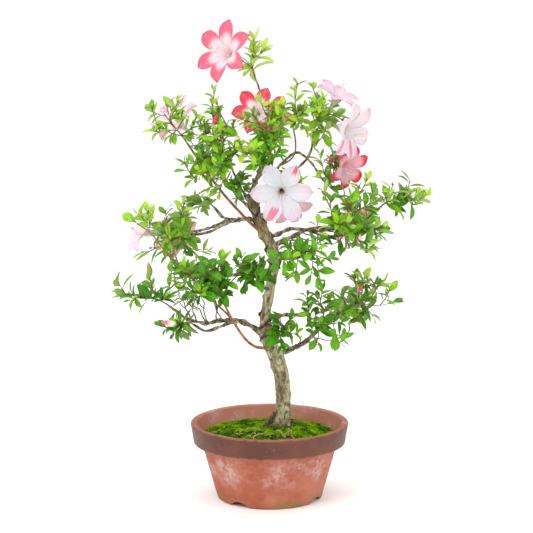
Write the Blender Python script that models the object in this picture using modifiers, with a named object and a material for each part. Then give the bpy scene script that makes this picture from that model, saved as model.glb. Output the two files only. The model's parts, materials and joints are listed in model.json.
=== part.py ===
"""An azalea trained as a small tree, in a low terracotta pot with a band round its rim.

The trunk stands on a carpet of moss and rises in a lazy S. Boughs leave it one above another, and each
ends where it enters a mass of foliage. A mass keeps to a space of its own: one stem, twigs that branch
by a seeded rule, a few leaves at the end of each twig, and its blooms. Lengths are in metres, +Z is up,
and the origin is on the ground under the middle of the pot.
"""

import math
import random
from collections import namedtuple

import bmesh
import bpy
from mathutils import Matrix, Vector
from mathutils.bvhtree import BVHTree

MM = 0.001
GAP = 0.3 * MM

# The pot: a turned bowl with a band round its rim, and four arched notches in its foot.
POT_HEIGHT = 87.0 * MM
RIM_RADIUS = 90.3 * MM
RIM_INNER_RADIUS = 83.2 * MM
BAND_HEIGHT = 23.0 * MM
BAND_LOWER_RADIUS = 87.0 * MM
SHOULDER_RADIUS = 77.8 * MM
FOOT_RADIUS = 60.0 * MM
FOOT_RING_WIDTH = 10.0 * MM
FOOT_RECESS = 5.5 * MM
FLOOR_THICKNESS = 5.0 * MM
FLOOR_INNER_RADIUS = 51.5 * MM
DRAIN_RADIUS = 11.0 * MM
LIP_ROUND = 1.3 * MM
NOTCH_WIDTH = 27.0 * MM
NOTCH_HEIGHT = 6.0 * MM
NOTCH_AZIMUTHS_DEG = (-124.0, -29.0, 58.0, 148.0)
POT_STEPS = 30

# The moss: a low mound with a level top that the trunk stands on.
MOSS_TOP = 79.0 * MM
MOSS_EDGE = 72.0 * MM
MOSS_LEVEL_RADIUS = 46.0 * MM
MOSS_DEPTH = 8.0 * MM
INNER_WALL_LOW = (76.4 * MM, 71.0 * MM)
INNER_WALL_KNEE = (70.0 * MM, 60.0 * MM)
GROUND = MOSS_TOP + GAP

# The trunk's axis and radius at its stations, from below the ground cut to the fork: x, y, z, radius.
TRUNK_STATIONS_MM = (
    (12.0, 8.0, 72.0, 14.5),
    (12.5, 8.0, 79.0, 12.2),
    (14.0, 8.0, 85.0, 10.2),
    (15.6, 7.0, 97.0, 9.1),
    (15.6, 5.0, 118.0, 8.6),
    (13.6, 3.0, 139.0, 8.4),
    (10.5, 1.0, 155.0, 8.3),
    (4.5, 0.0, 169.0, 8.3),
    (-2.0, 0.0, 182.0, 7.2),
    (-5.0, 0.0, 197.0, 6.4),
    (-4.2, 0.0, 214.0, 5.7),
    (-0.8, 0.0, 233.0, 5.3),
    (2.8, 0.0, 253.0, 5.4),
    (5.2, 0.0, 270.0, 5.8),
    (4.0, 0.0, 284.0, 6.6),
    (-2.5, 0.0, 298.0, 5.9),
    (-8.5, 0.0, 311.0, 6.2),
    (-14.0, 0.0, 324.0, 5.1),
    (-18.5, 0.0, 336.0, 4.4),
    (-22.0, 0.0, 350.0, 3.8),
)
TRUNK_SIDES = 8
ROOT_AZIMUTHS_DEG = (-160.0, -118.0, -62.0, -15.0, 65.0, 138.0)
ROOT_REACH = 22.0 * MM
ROOT_RADIUS = 4.0 * MM
BOUGH_SIDES = 5
BOUGH_SPAN = 15.0 * MM

# A leaf, a twig and a bloom, at the size that stands for the real ones in these solids.
LEAF_LENGTH = 36.0 * MM
LEAF_WIDTH = 14.5 * MM
LEAF_THICKNESS = 1.1 * MM
LEAF_ROOT_DEPTH = 0.5 * MM
LEAF_STEP = 4.2 * MM
LEAF_ROOM = 4.0 * MM
LEAVES_ON_SHOOT = 5
LEAF_TRIES = 14
GOLDEN_ANGLE = math.radians(137.5)
TWIG_SIDES = 3
STEM_RADIUS = 1.5 * MM
TIP_RADIUS = 0.9 * MM
LIMB_CLEARANCE = 1.0 * MM
SHORT_TWIG = 26.0 * MM
TIP_INSET = 16.0
SPACE_MARGIN = 0.035
SPACE_LIMIT = 1.16
CANDIDATES = 16
BLOOM_LOBES = 6
BLOOM_RADIUS = 35.0 * MM
BLOOM_DEPTH = 29.0 * MM
BLOOM_NECK = 7.0 * MM
PETAL_THICKNESS = 0.9 * MM

Space = namedtuple("Space", "name centre radii shoots")
Bough = namedtuple("Bough", "name parent at mass bow swing radius enter")
Bloom = namedtuple("Bloom", "mass throat facing roll size")
Limb = namedtuple("Limb", "points radii")
Twig = namedtuple("Twig", "points radii bloom")
Leaf = namedtuple("Leaf", "root way face length")
LEAF_FACES = [(end, side, face) for end in (0, 1) for side in (2, 3) for face in (4, 5)]

# Each mass of foliage: the centre and half sizes of its space (mm), and the twigs that its stem sends out.
SPACES = (
    Space("apex", (-16, -7, 504), (30, 28, 33), 3),
    Space("upper_front", (-6, -44, 417), (37, 30, 54), 6),
    Space("upper_centre", (32, 2, 442), (25, 30, 28), 2),
    Space("upper_right", (66, -11, 440), (38, 38, 38), 5),
    Space("right_blooms", (78, 4, 376), (34, 34, 30), 4),
    Space("upper_left_outer", (-109, -10, 428), (41, 44, 36), 7),
    Space("upper_left_inner", (-58, -20, 404), (38, 36, 58), 8),
    Space("left_knob", (-80, 28, 336), (24, 24, 16), 2),
    Space("left_middle", (-112, -10, 297), (39, 40, 43), 6),
    Space("left_low_front", (-69, -70, 260), (44, 36, 40), 7),
    Space("left_far_low", (-141, -8, 232), (42, 32, 27), 4),
    Space("left_bottom", (-102, -40, 206), (25, 26, 25), 3),
    Space("centre_front", (-20, -64, 268), (35, 28, 30), 4),
    Space("white_blooms", (14, -30, 348), (36, 28, 36), 1),
    Space("right_front", (40, -76, 290), (44, 36, 38), 6),
    Space("right_middle", (96, -18, 319), (46, 42, 46), 7),
    Space("right_far", (149, -4, 343), (38, 36, 27), 3),
    Space("right_low_outer", (104, -2, 228), (45, 42, 41), 6),
    Space("right_low_inner", (62, -42, 209), (34, 32, 34), 5),
    Space("low_front", (16, -56, 204), (27, 28, 38), 5),
    Space("back_upper", (0, 70, 409), (38, 34, 37), 3),
    Space("back_upper_left", (-67, 70, 379), (36, 34, 34), 3),
    Space("back_left", (-110, 76, 292), (36, 34, 36), 3),
    Space("back_right", (101, 76, 303), (41, 34, 34), 3),
    Space("back_low_left", (-86, 70, 242), (36, 36, 27), 2),
    Space("back_low_right", (99, 72, 214), (42, 36, 30), 3),
    Space("left_inner_low", (-36, -24, 365), (25, 26, 25), 3),
)

# Each bough: the limb it leaves, and where along it (from 0 to 1), the mass that it carries, how far its
# middle bows and its quarters swing from straight (mm), its foot's radius (mm), and how far out in the
# mass it ends, as a share of the mass's half size.
BOUGHS = (
    Bough("leader", "trunk", 1.0, "apex", (16, 18, 0), (0, 0, 0), 2.2, 0.65),
    Bough("upper_front_bough", "leader", 0.18, "upper_front", (0, -4, -4), (0, 0, 0), 1.7, 0.75),
    Bough("arch", "trunk", 0.93, "right_blooms", (2, 4, 42), (0, 0, -2), 2.4, 0.65),
    Bough("upper_right_bough", "arch", 0.30, "upper_right", (10, 2, -14), (0, 0, 0), 1.9, 0.65),
    Bough("upper_centre_bough", "arch", 0.38, "upper_centre", (8, -4, -8), (0, 0, 0), 1.5, 0.70),
    Bough("upper_left_bough", "trunk", 0.80, "upper_left_outer", (0, -6, -8), (0, 0, 0), 2.4, 0.70),
    Bough("upper_left_inner_bough", "trunk", 0.96, "upper_left_inner", (0, 0, -4), (0, 0, 0), 2.0, 0.75),
    Bough("left_middle_bough", "trunk", 0.863, "left_knob", (0, 0, -5), (0, 0, 4), 2.5, 0.85),
    Bough("left_drooping_bough", "left_middle_bough", 0.45, "left_middle", (0, 0, -2), (0, 0, 2), 1.8, 0.65),
    Bough("left_low_bough", "trunk", 0.425, "left_far_low", (0, -9, -2), (0, 0, 9), 3.2, 0.75),
    Bough("left_bottom_bough", "left_low_bough", 0.32, "left_bottom", (0, -2, -3), (0, 0, 2), 1.9, 0.75),
    Bough("left_sweeping_bough", "trunk", 0.36, "left_low_front", (-3, -8, -13), (0, 0, -2), 2.4, 0.70),
    Bough("centre_front_bough", "trunk", 0.60, "centre_front", (-2, 0, -3), (0, 0, 0), 1.7, 0.75),
    Bough("white_bloom_bough", "trunk", 0.905, "white_blooms", (2, 0, -4), (0, 0, 0), 1.7, 0.75),
    Bough("right_middle_bough", "trunk", 0.76, "right_middle", (0, 0, 6), (0, 0, -2), 2.7, 0.60),
    Bough("right_far_bough", "right_middle_bough", 0.62, "right_far", (2, -14, -15), (0, 0, -2), 1.8, 0.70),
    Bough("right_front_bough", "trunk", 0.72, "right_front", (3, 0, -3), (0, 0, 0), 2.0, 0.75),
    Bough("right_low_bough", "trunk", 0.36, "right_low_outer", (4, 6, -6), (0, 0, -3), 3.3, 0.65),
    Bough("right_low_inner_bough", "right_low_bough", 0.3, "right_low_inner", (2, 0, -2), (0, 0, 0), 1.7, 0.70),
    Bough("low_front_bough", "trunk", 0.47, "low_front", (2, 0, 2), (0, 0, 0), 1.7, 0.70),
    Bough("back_upper_bough", "leader", 0.10, "back_upper", (2, 0, -6), (0, 0, 0), 1.9, 0.70),
    Bough("back_upper_left_bough", "trunk", 0.92, "back_upper_left", (0, 2, -6), (0, 0, 0), 2.0, 0.70),
    Bough("back_left_bough", "left_middle_bough", 0.22, "back_left", (0, 4, 2), (0, 0, 2), 1.9, 0.70),
    Bough("back_right_bough", "trunk", 0.79, "back_right", (0, 6, 4), (0, 0, 3), 2.3, 0.70),
    Bough("back_low_left_bough", "trunk", 0.63, "back_low_left", (0, 6, 4), (0, 0, 0), 2.3, 0.70),
    Bough("back_low_right_bough", "trunk", 0.50, "back_low_right", (0, 6, -4), (0, 0, 3), 2.6, 0.70),
    Bough("left_inner_low_bough", "trunk", 0.885, "left_inner_low", (0, -3, 0), (0, 0, 0), 1.7, 0.75),
)

# Each bloom: its mass, where its throat's foot is (mm), the way it faces, its turn about that way
# (degrees), and its size beside a full-blown one.
BLOOMS = (
    Bloom("apex", (-34, -2, 500), (-0.57, -0.75, 0.33), 31.0, 1.08),
    Bloom("upper_front", (-11, 4, 436), (-0.14, -0.92, 0.35), 9.0, 0.82),
    Bloom("upper_left_outer", (-92, 24, 418), (-0.6, -0.5, 0.62), 37.0, 0.95),
    Bloom("white_blooms", (13, -24, 357), (0.0, -1.0, -0.02), 0.0, 1.04),
    Bloom("white_blooms", (18, -6, 348), (0.42, -0.68, -0.58), 5.0, 0.85),
    Bloom("upper_right", (67, 2, 444), (0.4, -0.3, 0.87), 25.0, 0.78),
    Bloom("upper_right", (69, -12, 428), (0.80, -0.56, -0.22), -16.0, 1.0),
    Bloom("right_blooms", (75, 14, 386), (0.62, -0.72, -0.3), 24.0, 0.8),
    Bloom("left_middle", (-124, 4, 302), (-0.88, -0.3, 0.3), 10.0, 0.9),
    Bloom("back_upper", (-4, 76, 423), (0.2, 0.93, 0.3), 8.0, 0.85),
    Bloom("back_left", (-113, 78, 294), (-0.35, 0.9, 0.25), 30.0, 0.85),
    Bloom("back_right", (98, 78, 306), (0.45, 0.85, 0.28), 16.0, 0.85),
)

COLOURS = {
    "terracotta": ((0.60, 0.25, 0.14), 0.85),
    "earth": ((0.10, 0.06, 0.04), 1.0),
    "moss": ((0.16, 0.38, 0.03), 1.0),
    "bark": ((0.36, 0.31, 0.22), 0.9),
    "leaf": ((0.13, 0.40, 0.05), 0.45),
}


def vec_mm(values):
    """A vector in metres from three lengths in millimetres."""
    return Vector(values) * MM


# ---------------------------------------------------------------- helpers for objects and meshes


def clear_scene():
    for obj in list(bpy.data.objects):
        bpy.data.objects.remove(obj)


def new_collection(name):
    made = bpy.data.collections.new(name)
    bpy.context.scene.collection.children.link(made)
    return made


def material(name):
    """The Principled material of that name, made once."""
    found = bpy.data.materials.get(name)
    if found:
        return found
    colour, roughness = COLOURS[name]
    made = bpy.data.materials.new(name)
    made.use_nodes = True
    shader = made.node_tree.nodes["Principled BSDF"]
    shader.inputs["Base Color"].default_value = (*colour, 1.0)
    shader.inputs["Roughness"].default_value = roughness
    shader.inputs["Metallic"].default_value = 0.0
    return made


def add_object(name, data, collection):
    obj = bpy.data.objects.new(name, data)
    collection.objects.link(obj)
    return obj


def mesh_from_bmesh(name, bm):
    mesh = bpy.data.meshes.new(name)
    bm.to_mesh(mesh)
    bm.free()
    return mesh


def evaluated_mesh(obj):
    """The object's mesh with its modifiers or its bevel applied, and a curve's loose caps welded on."""
    bpy.context.view_layer.update()
    graph = bpy.context.evaluated_depsgraph_get()
    mesh = bpy.data.meshes.new_from_object(obj.evaluated_get(graph))
    if obj.type == "CURVE":
        bm = bmesh.new()
        bm.from_mesh(mesh)
        bmesh.ops.remove_doubles(bm, verts=bm.verts, dist=1e-6)
        bmesh.ops.recalc_face_normals(bm, faces=bm.faces)
        bm.to_mesh(mesh)
        bm.free()
    return mesh


def replace_by_mesh(obj, collection):
    """The object turned into a plain mesh object of the same name, place and collection."""
    name = obj.name
    mesh = evaluated_mesh(obj)
    place = obj.matrix_world.copy()
    bpy.data.objects.remove(obj)
    made = add_object(name, mesh, collection)
    made.matrix_world = place
    return made


def boolean(obj, operation, other):
    """Adds a Boolean against an object or a whole collection."""
    cut = obj.modifiers.new(operation.lower(), "BOOLEAN")
    cut.operation = operation
    cut.solver = "MANIFOLD"
    if isinstance(other, bpy.types.Collection):
        cut.operand_type = "COLLECTION"
        cut.collection = other
    else:
        cut.object = other


def hide_as_cutter(obj):
    obj.hide_render = True
    obj.display_type = "WIRE"


def finish(obj, colour, smooth_angle_deg=40.0):
    """Shades the mesh smooth with its sharp edges kept, and gives it its material."""
    obj.data.materials.clear()
    obj.data.materials.append(material(colour))
    obj.data.shade_smooth()
    obj.data.set_sharp_from_angle(angle=math.radians(smooth_angle_deg))


def keep_largest_piece(obj):
    """Drops the loose scraps that a cut or a union leaves."""
    bm = bmesh.new()
    bm.from_mesh(obj.data)
    pieces, seen = [], set()
    for start in bm.verts:
        if start in seen:
            continue
        seen.add(start)
        piece = [start]
        for vert in piece:
            for edge in vert.link_edges:
                other = edge.other_vert(vert)
                if other not in seen:
                    seen.add(other)
                    piece.append(other)
        pieces.append(piece)
    pieces.sort(key=len)
    for piece in pieces[:-1]:
        bmesh.ops.delete(bm, geom=piece, context="VERTS")
    bm.to_mesh(obj.data)
    bm.free()


# ---------------------------------------------------------------- pot, earth and moss


def turned(name, profile, collection):
    """A turned solid from a closed profile of (radius, height) points that runs down its outer side."""
    bm = bmesh.new()
    verts = [bm.verts.new((radius, 0.0, height)) for radius, height in profile]
    for first, second in zip(verts, verts[1:]):
        bm.edges.new((first, second))
    if profile[0][0] > 0:
        bm.edges.new((verts[-1], verts[0]))
    obj = add_object(name, mesh_from_bmesh(name, bm), collection)
    screw = obj.modifiers.new("turn", "SCREW")
    screw.steps = POT_STEPS
    screw.render_steps = POT_STEPS
    screw.use_merge_vertices = True
    screw.merge_threshold = 0.00005
    return replace_by_mesh(obj, collection)


def pot_profile():
    band_low = POT_HEIGHT - BAND_HEIGHT
    return [
        (RIM_INNER_RADIUS + LIP_ROUND, POT_HEIGHT),
        (RIM_RADIUS - LIP_ROUND, POT_HEIGHT),
        (RIM_RADIUS, POT_HEIGHT - LIP_ROUND),
        (BAND_LOWER_RADIUS, band_low + LIP_ROUND),
        (BAND_LOWER_RADIUS - LIP_ROUND, band_low),
        (SHOULDER_RADIUS, band_low),
        (FOOT_RADIUS + LIP_ROUND / 3, LIP_ROUND),
        (FOOT_RADIUS - LIP_ROUND / 2, 0.0),
        (FOOT_RADIUS - FOOT_RING_WIDTH, 0.0),
        (FOOT_RADIUS - FOOT_RING_WIDTH - LIP_ROUND, FOOT_RECESS),
        (DRAIN_RADIUS, FOOT_RECESS),
        (DRAIN_RADIUS, FOOT_RECESS + FLOOR_THICKNESS),
        (FLOOR_INNER_RADIUS, FOOT_RECESS + FLOOR_THICKNESS),
        INNER_WALL_KNEE,
        INNER_WALL_LOW,
        (RIM_INNER_RADIUS, POT_HEIGHT - LIP_ROUND),
    ]


def notch_cutter(azimuth_deg, cutters):
    """A level cylinder that points at the axis and leaves an arch of the notch's width and height."""
    radius = ((NOTCH_WIDTH / 2) ** 2 + NOTCH_HEIGHT**2) / (2 * NOTCH_HEIGHT)
    azimuth = math.radians(azimuth_deg)
    bm = bmesh.new()
    bmesh.ops.create_cone(
        bm,
        cap_ends=True,
        segments=24,
        radius1=radius,
        radius2=radius,
        depth=FOOT_RADIUS,
    )
    obj = add_object(f"notch_{azimuth_deg:.0f}", mesh_from_bmesh("notch", bm), cutters)
    middle = FOOT_RADIUS * 0.95
    obj.location = (
        middle * math.cos(azimuth),
        middle * math.sin(azimuth),
        NOTCH_HEIGHT - radius,
    )
    obj.rotation_euler = (0.0, math.pi / 2, azimuth)
    hide_as_cutter(obj)
    return obj


def make_pot(parts, cutters):
    pot = turned("pot", pot_profile(), parts)
    for azimuth_deg in NOTCH_AZIMUTHS_DEG:
        boolean(pot, "DIFFERENCE", notch_cutter(azimuth_deg, cutters))
    finish(pot, "terracotta")


def wall_radius(height):
    """The radius of the pot's inner wall at a height above its knee."""
    low, high = INNER_WALL_KNEE, INNER_WALL_LOW
    if height > high[1]:
        low, high = INNER_WALL_LOW, (RIM_INNER_RADIUS, POT_HEIGHT - LIP_ROUND)
    share = (height - low[1]) / (high[1] - low[1])
    return low[0] + (high[0] - low[0]) * share


def make_earth(parts):
    floor = FOOT_RECESS + FLOOR_THICKNESS + GAP
    top = MOSS_EDGE - MOSS_DEPTH - GAP
    profile = [
        (0.0, top),
        (wall_radius(top) - GAP, top),
        (INNER_WALL_KNEE[0] - GAP, INNER_WALL_KNEE[1]),
        (FLOOR_INNER_RADIUS - GAP, floor),
        (0.0, floor),
    ]
    finish(turned("earth", profile, parts), "earth")


def make_moss(parts):
    under = MOSS_EDGE - MOSS_DEPTH
    profile = [
        (0.0, MOSS_TOP),
        (MOSS_LEVEL_RADIUS, MOSS_TOP),
        (MOSS_LEVEL_RADIUS * 1.35, (MOSS_TOP * 2 + MOSS_EDGE) / 3),
        (wall_radius(MOSS_EDGE) - 2 * GAP, MOSS_EDGE),
        (INNER_WALL_LOW[0] - 2 * GAP, INNER_WALL_LOW[1]),
        (wall_radius(under) - GAP, under),
        (0.0, under),
    ]
    finish(turned("moss", profile, parts), "moss")


# ---------------------------------------------------------------- limbs


def trunk_limb():
    points = [vec_mm(station[:3]) for station in TRUNK_STATIONS_MM]
    return Limb(points, [station[3] * MM for station in TRUNK_STATIONS_MM])


def point_on(limb, share):
    """(point, direction, radius) at a share of the way along the limb."""
    place = share * (len(limb.points) - 1)
    k = min(int(place), len(limb.points) - 2)
    t = place - k
    first, second = limb.points[k], limb.points[k + 1]
    radius = limb.radii[k] * (1 - t) + limb.radii[k + 1] * t
    return first.lerp(second, t), (second - first).normalized(), radius


def bough_limb(bough, parent, space):
    """The bough's line from its parent's axis into its mass, bowed and swung, with its taper."""
    start, _, _ = point_on(parent, bough.at)
    centre = vec_mm(space.centre)
    end = centre + (start - centre) * bough.enter / share_of(start, space)
    count = max(5, round((end - start).length / BOUGH_SPAN))
    foot = bough.radius * MM
    tip = max(STEM_RADIUS * 0.95, foot * 0.5)
    points, radii = [], []
    for k in range(count + 1):
        t = k / count
        bow = vec_mm(bough.bow) * math.sin(math.pi * t)
        swing = vec_mm(bough.swing) * math.sin(math.tau * t)
        points.append(start.lerp(end, t) + bow + swing)
        radii.append(foot + (tip - foot) * t**0.8)
    return Limb(points, radii)


def lay_out_limbs():
    """Every limb by name, each worked out from the one that it leaves."""
    spaces = {space.name: space for space in SPACES}
    limbs = {"trunk": trunk_limb()}
    for bough in BOUGHS:
        limbs[bough.name] = bough_limb(bough, limbs[bough.parent], spaces[bough.mass])
    return limbs


def section(sides, cutters):
    """The section of a given number of sides that a limb is drawn with, made once."""
    name = f"section_{sides}"
    found = bpy.data.objects.get(name)
    if found:
        return found
    curve = bpy.data.curves.new(name, "CURVE")
    curve.dimensions = "2D"
    spline = curve.splines.new("POLY")
    spline.points.add(sides - 1)
    spline.use_cyclic_u = True
    for k, control in enumerate(spline.points):
        angle = -math.tau * k / sides
        control.co = (math.cos(angle), math.sin(angle), 0.0, 1.0)
    obj = add_object(name, curve, cutters)
    hide_as_cutter(obj)
    return obj


def tube(name, limb, outline, collection, grow=0.0):
    """A tapering tube along the limb as a mesh, grown all round and past its end by an allowance."""
    curve = bpy.data.curves.new(name, "CURVE")
    curve.dimensions = "3D"
    curve.bevel_mode = "OBJECT"
    curve.bevel_object = outline
    curve.use_fill_caps = True
    spline = curve.splines.new("POLY")
    spline.points.add(len(limb.points) - 1)
    past_end = (limb.points[-1] - limb.points[-2]).normalized() * grow
    points = [*limb.points[:-1], limb.points[-1] + past_end]
    for control, point, radius in zip(spline.points, points, limb.radii):
        control.co = (*point, 1.0)
        control.radius = radius + grow
    return replace_by_mesh(add_object(name, curve, collection), collection)


def root_limb(azimuth_deg):
    """A surface root that runs out from the trunk's foot and dips into the ground."""
    azimuth = math.radians(azimuth_deg)
    foot = vec_mm(TRUNK_STATIONS_MM[1][:3])
    out = Vector((math.cos(azimuth), math.sin(azimuth), 0.0))
    points = [
        foot + out * ROOT_REACH * 0.15 + Vector((0, 0, 7 * MM)),
        foot + out * ROOT_REACH * 0.5 + Vector((0, 0, 2 * MM)),
        foot + out * ROOT_REACH + Vector((0, 0, -3 * MM)),
    ]
    return Limb(points, [ROOT_RADIUS, ROOT_RADIUS * 0.85, ROOT_RADIUS * 0.45])


def make_trunk(limb, parts, cutters):
    trunk = tube("trunk", limb, section(TRUNK_SIDES, cutters), parts)
    for azimuth_deg in ROOT_AZIMUTHS_DEG:
        name = f"root_{azimuth_deg:.0f}"
        root = tube(name, root_limb(azimuth_deg), section(BOUGH_SIDES, cutters), cutters)
        hide_as_cutter(root)
        boolean(trunk, "UNION", root)
    bm = bmesh.new()
    bmesh.ops.create_cube(bm, size=2 * POT_HEIGHT)
    below = add_object("below_ground", mesh_from_bmesh("below_ground", bm), cutters)
    below.location = (0.0, 0.0, GROUND - POT_HEIGHT)
    hide_as_cutter(below)
    boolean(trunk, "DIFFERENCE", below)
    finish(trunk, "bark")


def make_boughs(limbs, parts, cutters):
    """Each bough is cut back to 0.3 mm clear of the limb that it leaves."""
    for bough in BOUGHS:
        obj = tube(bough.name, limbs[bough.name], section(BOUGH_SIDES, cutters), parts)
        sides = TRUNK_SIDES if bough.parent == "trunk" else BOUGH_SIDES
        parent = limbs[bough.parent]
        seat = tube(f"seat_{bough.name}", parent, section(sides, cutters), cutters, GAP)
        hide_as_cutter(seat)
        boolean(obj, "DIFFERENCE", seat)
        obj = replace_by_mesh(obj, parts)
        keep_largest_piece(obj)
        finish(obj, "bark")


def room_round(limbs, cutters):
    """The faces of each limb grown by the room that foliage leaves round it."""
    found = []
    for name, limb in limbs.items():
        grown = tube(f"room_{name}", limb, section(BOUGH_SIDES, cutters), cutters, LIMB_CLEARANCE)
        found.append(faces_of(grown))
        bpy.data.objects.remove(grown)
    return found


# ---------------------------------------------------------------- the rule that foliage grows by


def share_of(point, space):
    """How far out the point is in a space: 0 at the centre, 1 at its skin."""
    away = (point - vec_mm(space.centre)) / MM
    return math.sqrt(sum((away[k] / space.radii[k]) ** 2 for k in range(3)))


def own_space(point, space):
    """Whether the point belongs to this space and to no other, with a margin."""
    own = share_of(point, space)
    if own > SPACE_LIMIT:
        return False
    return all(own + SPACE_MARGIN < share_of(point, other) for other in SPACES if other is not space)


def clear_of_blooms(point):
    """Whether the point is outside every bloom's funnel and the room in front of it."""
    for bloom in BLOOMS:
        facing = Vector(bloom.facing).normalized()
        away = point - vec_mm(bloom.throat)
        deep = away.dot(facing) / (BLOOM_DEPTH * bloom.size)
        if 0.0 < deep < 1.4:
            wide = BLOOM_RADIUS * bloom.size * min(1.0, deep) ** 1.5 + 4 * MM
            if (away - facing * away.dot(facing)).length < wide:
                return False
    return True


def has_room(points, space):
    return all(own_space(point, space) and clear_of_blooms(point) for point in points)


def faces_of(obj):
    """The object's faces in world space, for telling what would cross them."""
    points = [obj.matrix_world @ vert.co for vert in obj.data.vertices]
    return BVHTree.FromPolygons(points, [tuple(face.vertices) for face in obj.data.polygons])


def crosses(faces, others):
    return any(faces.overlap(other) for other in others)


def arc(first, control, last, count):
    """Points on a quadratic curve from first to last."""
    shares = [k / count for k in range(count + 1)]
    return [first * (1 - t) ** 2 + control * 2 * t * (1 - t) + last * t * t for t in shares]


def spread_tips(space, rng):
    """The twigs' tips: points spread evenly through the space, a leaf's reach inside its skin."""
    inner = [max(radius - TIP_INSET, 6.0) * MM for radius in space.radii]
    tips = [vec_mm(space.centre)]
    for _ in range(space.shoots):
        best, best_gap = None, -1.0
        for _ in range(CANDIDATES):
            way = Vector((rng.gauss(0, 1), rng.gauss(0, 1), rng.gauss(0.2, 1))).normalized()
            reach = rng.uniform(0.65, 1.0)
            point = tips[0] + Vector(tuple(way[k] * inner[k] for k in range(3))) * reach
            gap = min((point - other).length for other in tips)
            if gap > best_gap and has_room([point], space):
                best, best_gap = point, gap
        if best:
            tips.append(best)
    return tips[1:]


def joint_for(tip, nodes):
    """The place on the twigs so far that a new twig leaves from: near, and not doubling back."""

    def cost(node):
        way = tip - node[0]
        turn = node[1].dot(way) / max(way.length, 1e-9)
        return way.length * (1.6 - 0.6 * turn)

    return min(nodes, key=cost)


def joints_along(twig):
    """The nodes that later twigs may leave from: (point, direction, radius)."""
    points = twig.points
    inner = range(1, len(points) - 1)
    return [(points[k], (points[k + 1] - points[k - 1]).normalized(), twig.radii[k]) for k in inner]


def twig_between(node, control, tip, bloom=None):
    """A twig from a node of another to its tip: straight where it is short."""
    count = 1 if (tip - node[0]).length < SHORT_TWIG else 2
    foot = max(TIP_RADIUS, node[2] * 0.8)
    points = arc(node[0], control, tip, count)
    return Twig(points, [foot + (TIP_RADIUS - foot) * k / count for k in range(count + 1)], bloom)


def stem_of(space, root, heading):
    """The mass's stem, from 0.3 mm past its bough's tip to the middle of its space."""
    centre = vec_mm(space.centre)
    straight = root + heading * 4 * MM
    bend = straight + heading * (centre - straight).length * 0.4
    points = [root, *arc(straight, bend, centre, 3)]
    taper = (TIP_RADIUS - STEM_RADIUS) / (len(points) - 1)
    return Twig(points, [STEM_RADIUS + taper * k for k in range(len(points))], None)


def twig_to_bloom(bloom, nodes):
    throat = vec_mm(bloom.throat)
    facing = Vector(bloom.facing).normalized()
    neck = throat - facing * BLOOM_NECK
    node = joint_for(neck, nodes)
    control = neck - facing * (neck - node[0]).length * 0.4
    twig = twig_between(node, control, neck, bloom)
    return Twig([*twig.points, throat + facing * 2 * MM], [*twig.radii, TIP_RADIUS], bloom)


def grow(space, root, heading, rng):
    """The twigs of one mass: its stem, a twig to each bloom, and a twig to each tip."""
    stem = stem_of(space, root, heading)
    yield stem
    nodes = joints_along(stem)[1:]
    for bloom in BLOOMS:
        if bloom.mass == space.name:
            yield twig_to_bloom(bloom, nodes)
    for tip in sorted(spread_tips(space, rng), key=lambda point: (point - root).length):
        node = joint_for(tip, nodes)
        apart = (tip - node[0]).length
        control = node[0] + node[1] * apart * 0.35 + Vector((0, 0, apart * 0.12))
        twig = twig_between(node, control, tip)
        if has_room(twig.points[1:], space):
            nodes += joints_along(twig)
            yield twig


def square_to(direction):
    """Two axes square to a direction, the first one level."""
    side = direction.cross(Vector((0.0, 0.0, 1.0)))
    if side.length < 0.1:
        side = Vector((1.0, 0.0, 0.0)) - direction * direction.x
    side.normalize()
    return side, direction.cross(side).normalized()


def leaf_at(root, direction, angle, lean, length):
    """A leaf that leaves its twig at an angle round it, and leans out from its direction."""
    side, other = square_to(direction)
    out = side * math.cos(angle) + other * math.sin(angle)
    way = direction * math.cos(lean) + out * math.sin(lean)
    way = (way + Vector((0.0, 0.0, 0.10))).normalized()
    face = (direction - way * direction.dot(way)).normalized()
    return Leaf(root, way, face, length)


def leaf_corners(leaf, thickness):
    """The six corners of the leaf: its root, its tip, its two sides and its two faces."""
    middle = leaf.root + leaf.way * leaf.length / 2
    across = leaf.way.cross(leaf.face) * LEAF_WIDTH / 2
    up = leaf.face * thickness / 2
    tip = leaf.root + leaf.way * leaf.length
    return [leaf.root, tip, middle + across, middle - across, middle + up, middle - up]


def leaves_on(twig, space, rng, obstacles):
    """The twig's leaves in a spiral from its tip down, each turned until its own way is clear."""
    last = twig.points[-1] - twig.points[-2]
    direction = last.normalized()
    turn = rng.uniform(0, math.tau)
    for k in range(LEAVES_ON_SHOOT):
        back = min(k * LEAF_STEP + 0.6 * MM, last.length * 0.9)
        root = twig.points[-1] - direction * back
        length = LEAF_LENGTH * rng.uniform(0.90, 1.05)
        for attempt in range(LEAF_TRIES):
            angle = turn + k * GOLDEN_ANGLE + attempt * 0.9
            lean = math.radians(30 + 50 * k / LEAVES_ON_SHOOT + rng.uniform(-15, 15))
            leaf = leaf_at(root, direction, angle, lean, length * (1 - 0.02 * attempt))
            corners = leaf_corners(leaf, LEAF_ROOM)
            faces = BVHTree.FromPolygons(corners, LEAF_FACES)
            if has_room(corners[1:], space) and not crosses(faces, obstacles):
                obstacles.append(faces)
                yield leaf
                break


# ---------------------------------------------------------------- solids of leaves and blooms


def place_matrix(origin, x_axis, y_axis, z_axis):
    turn = Matrix((x_axis, y_axis, z_axis)).transposed().to_4x4()
    return Matrix.Translation(origin) @ turn


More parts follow.
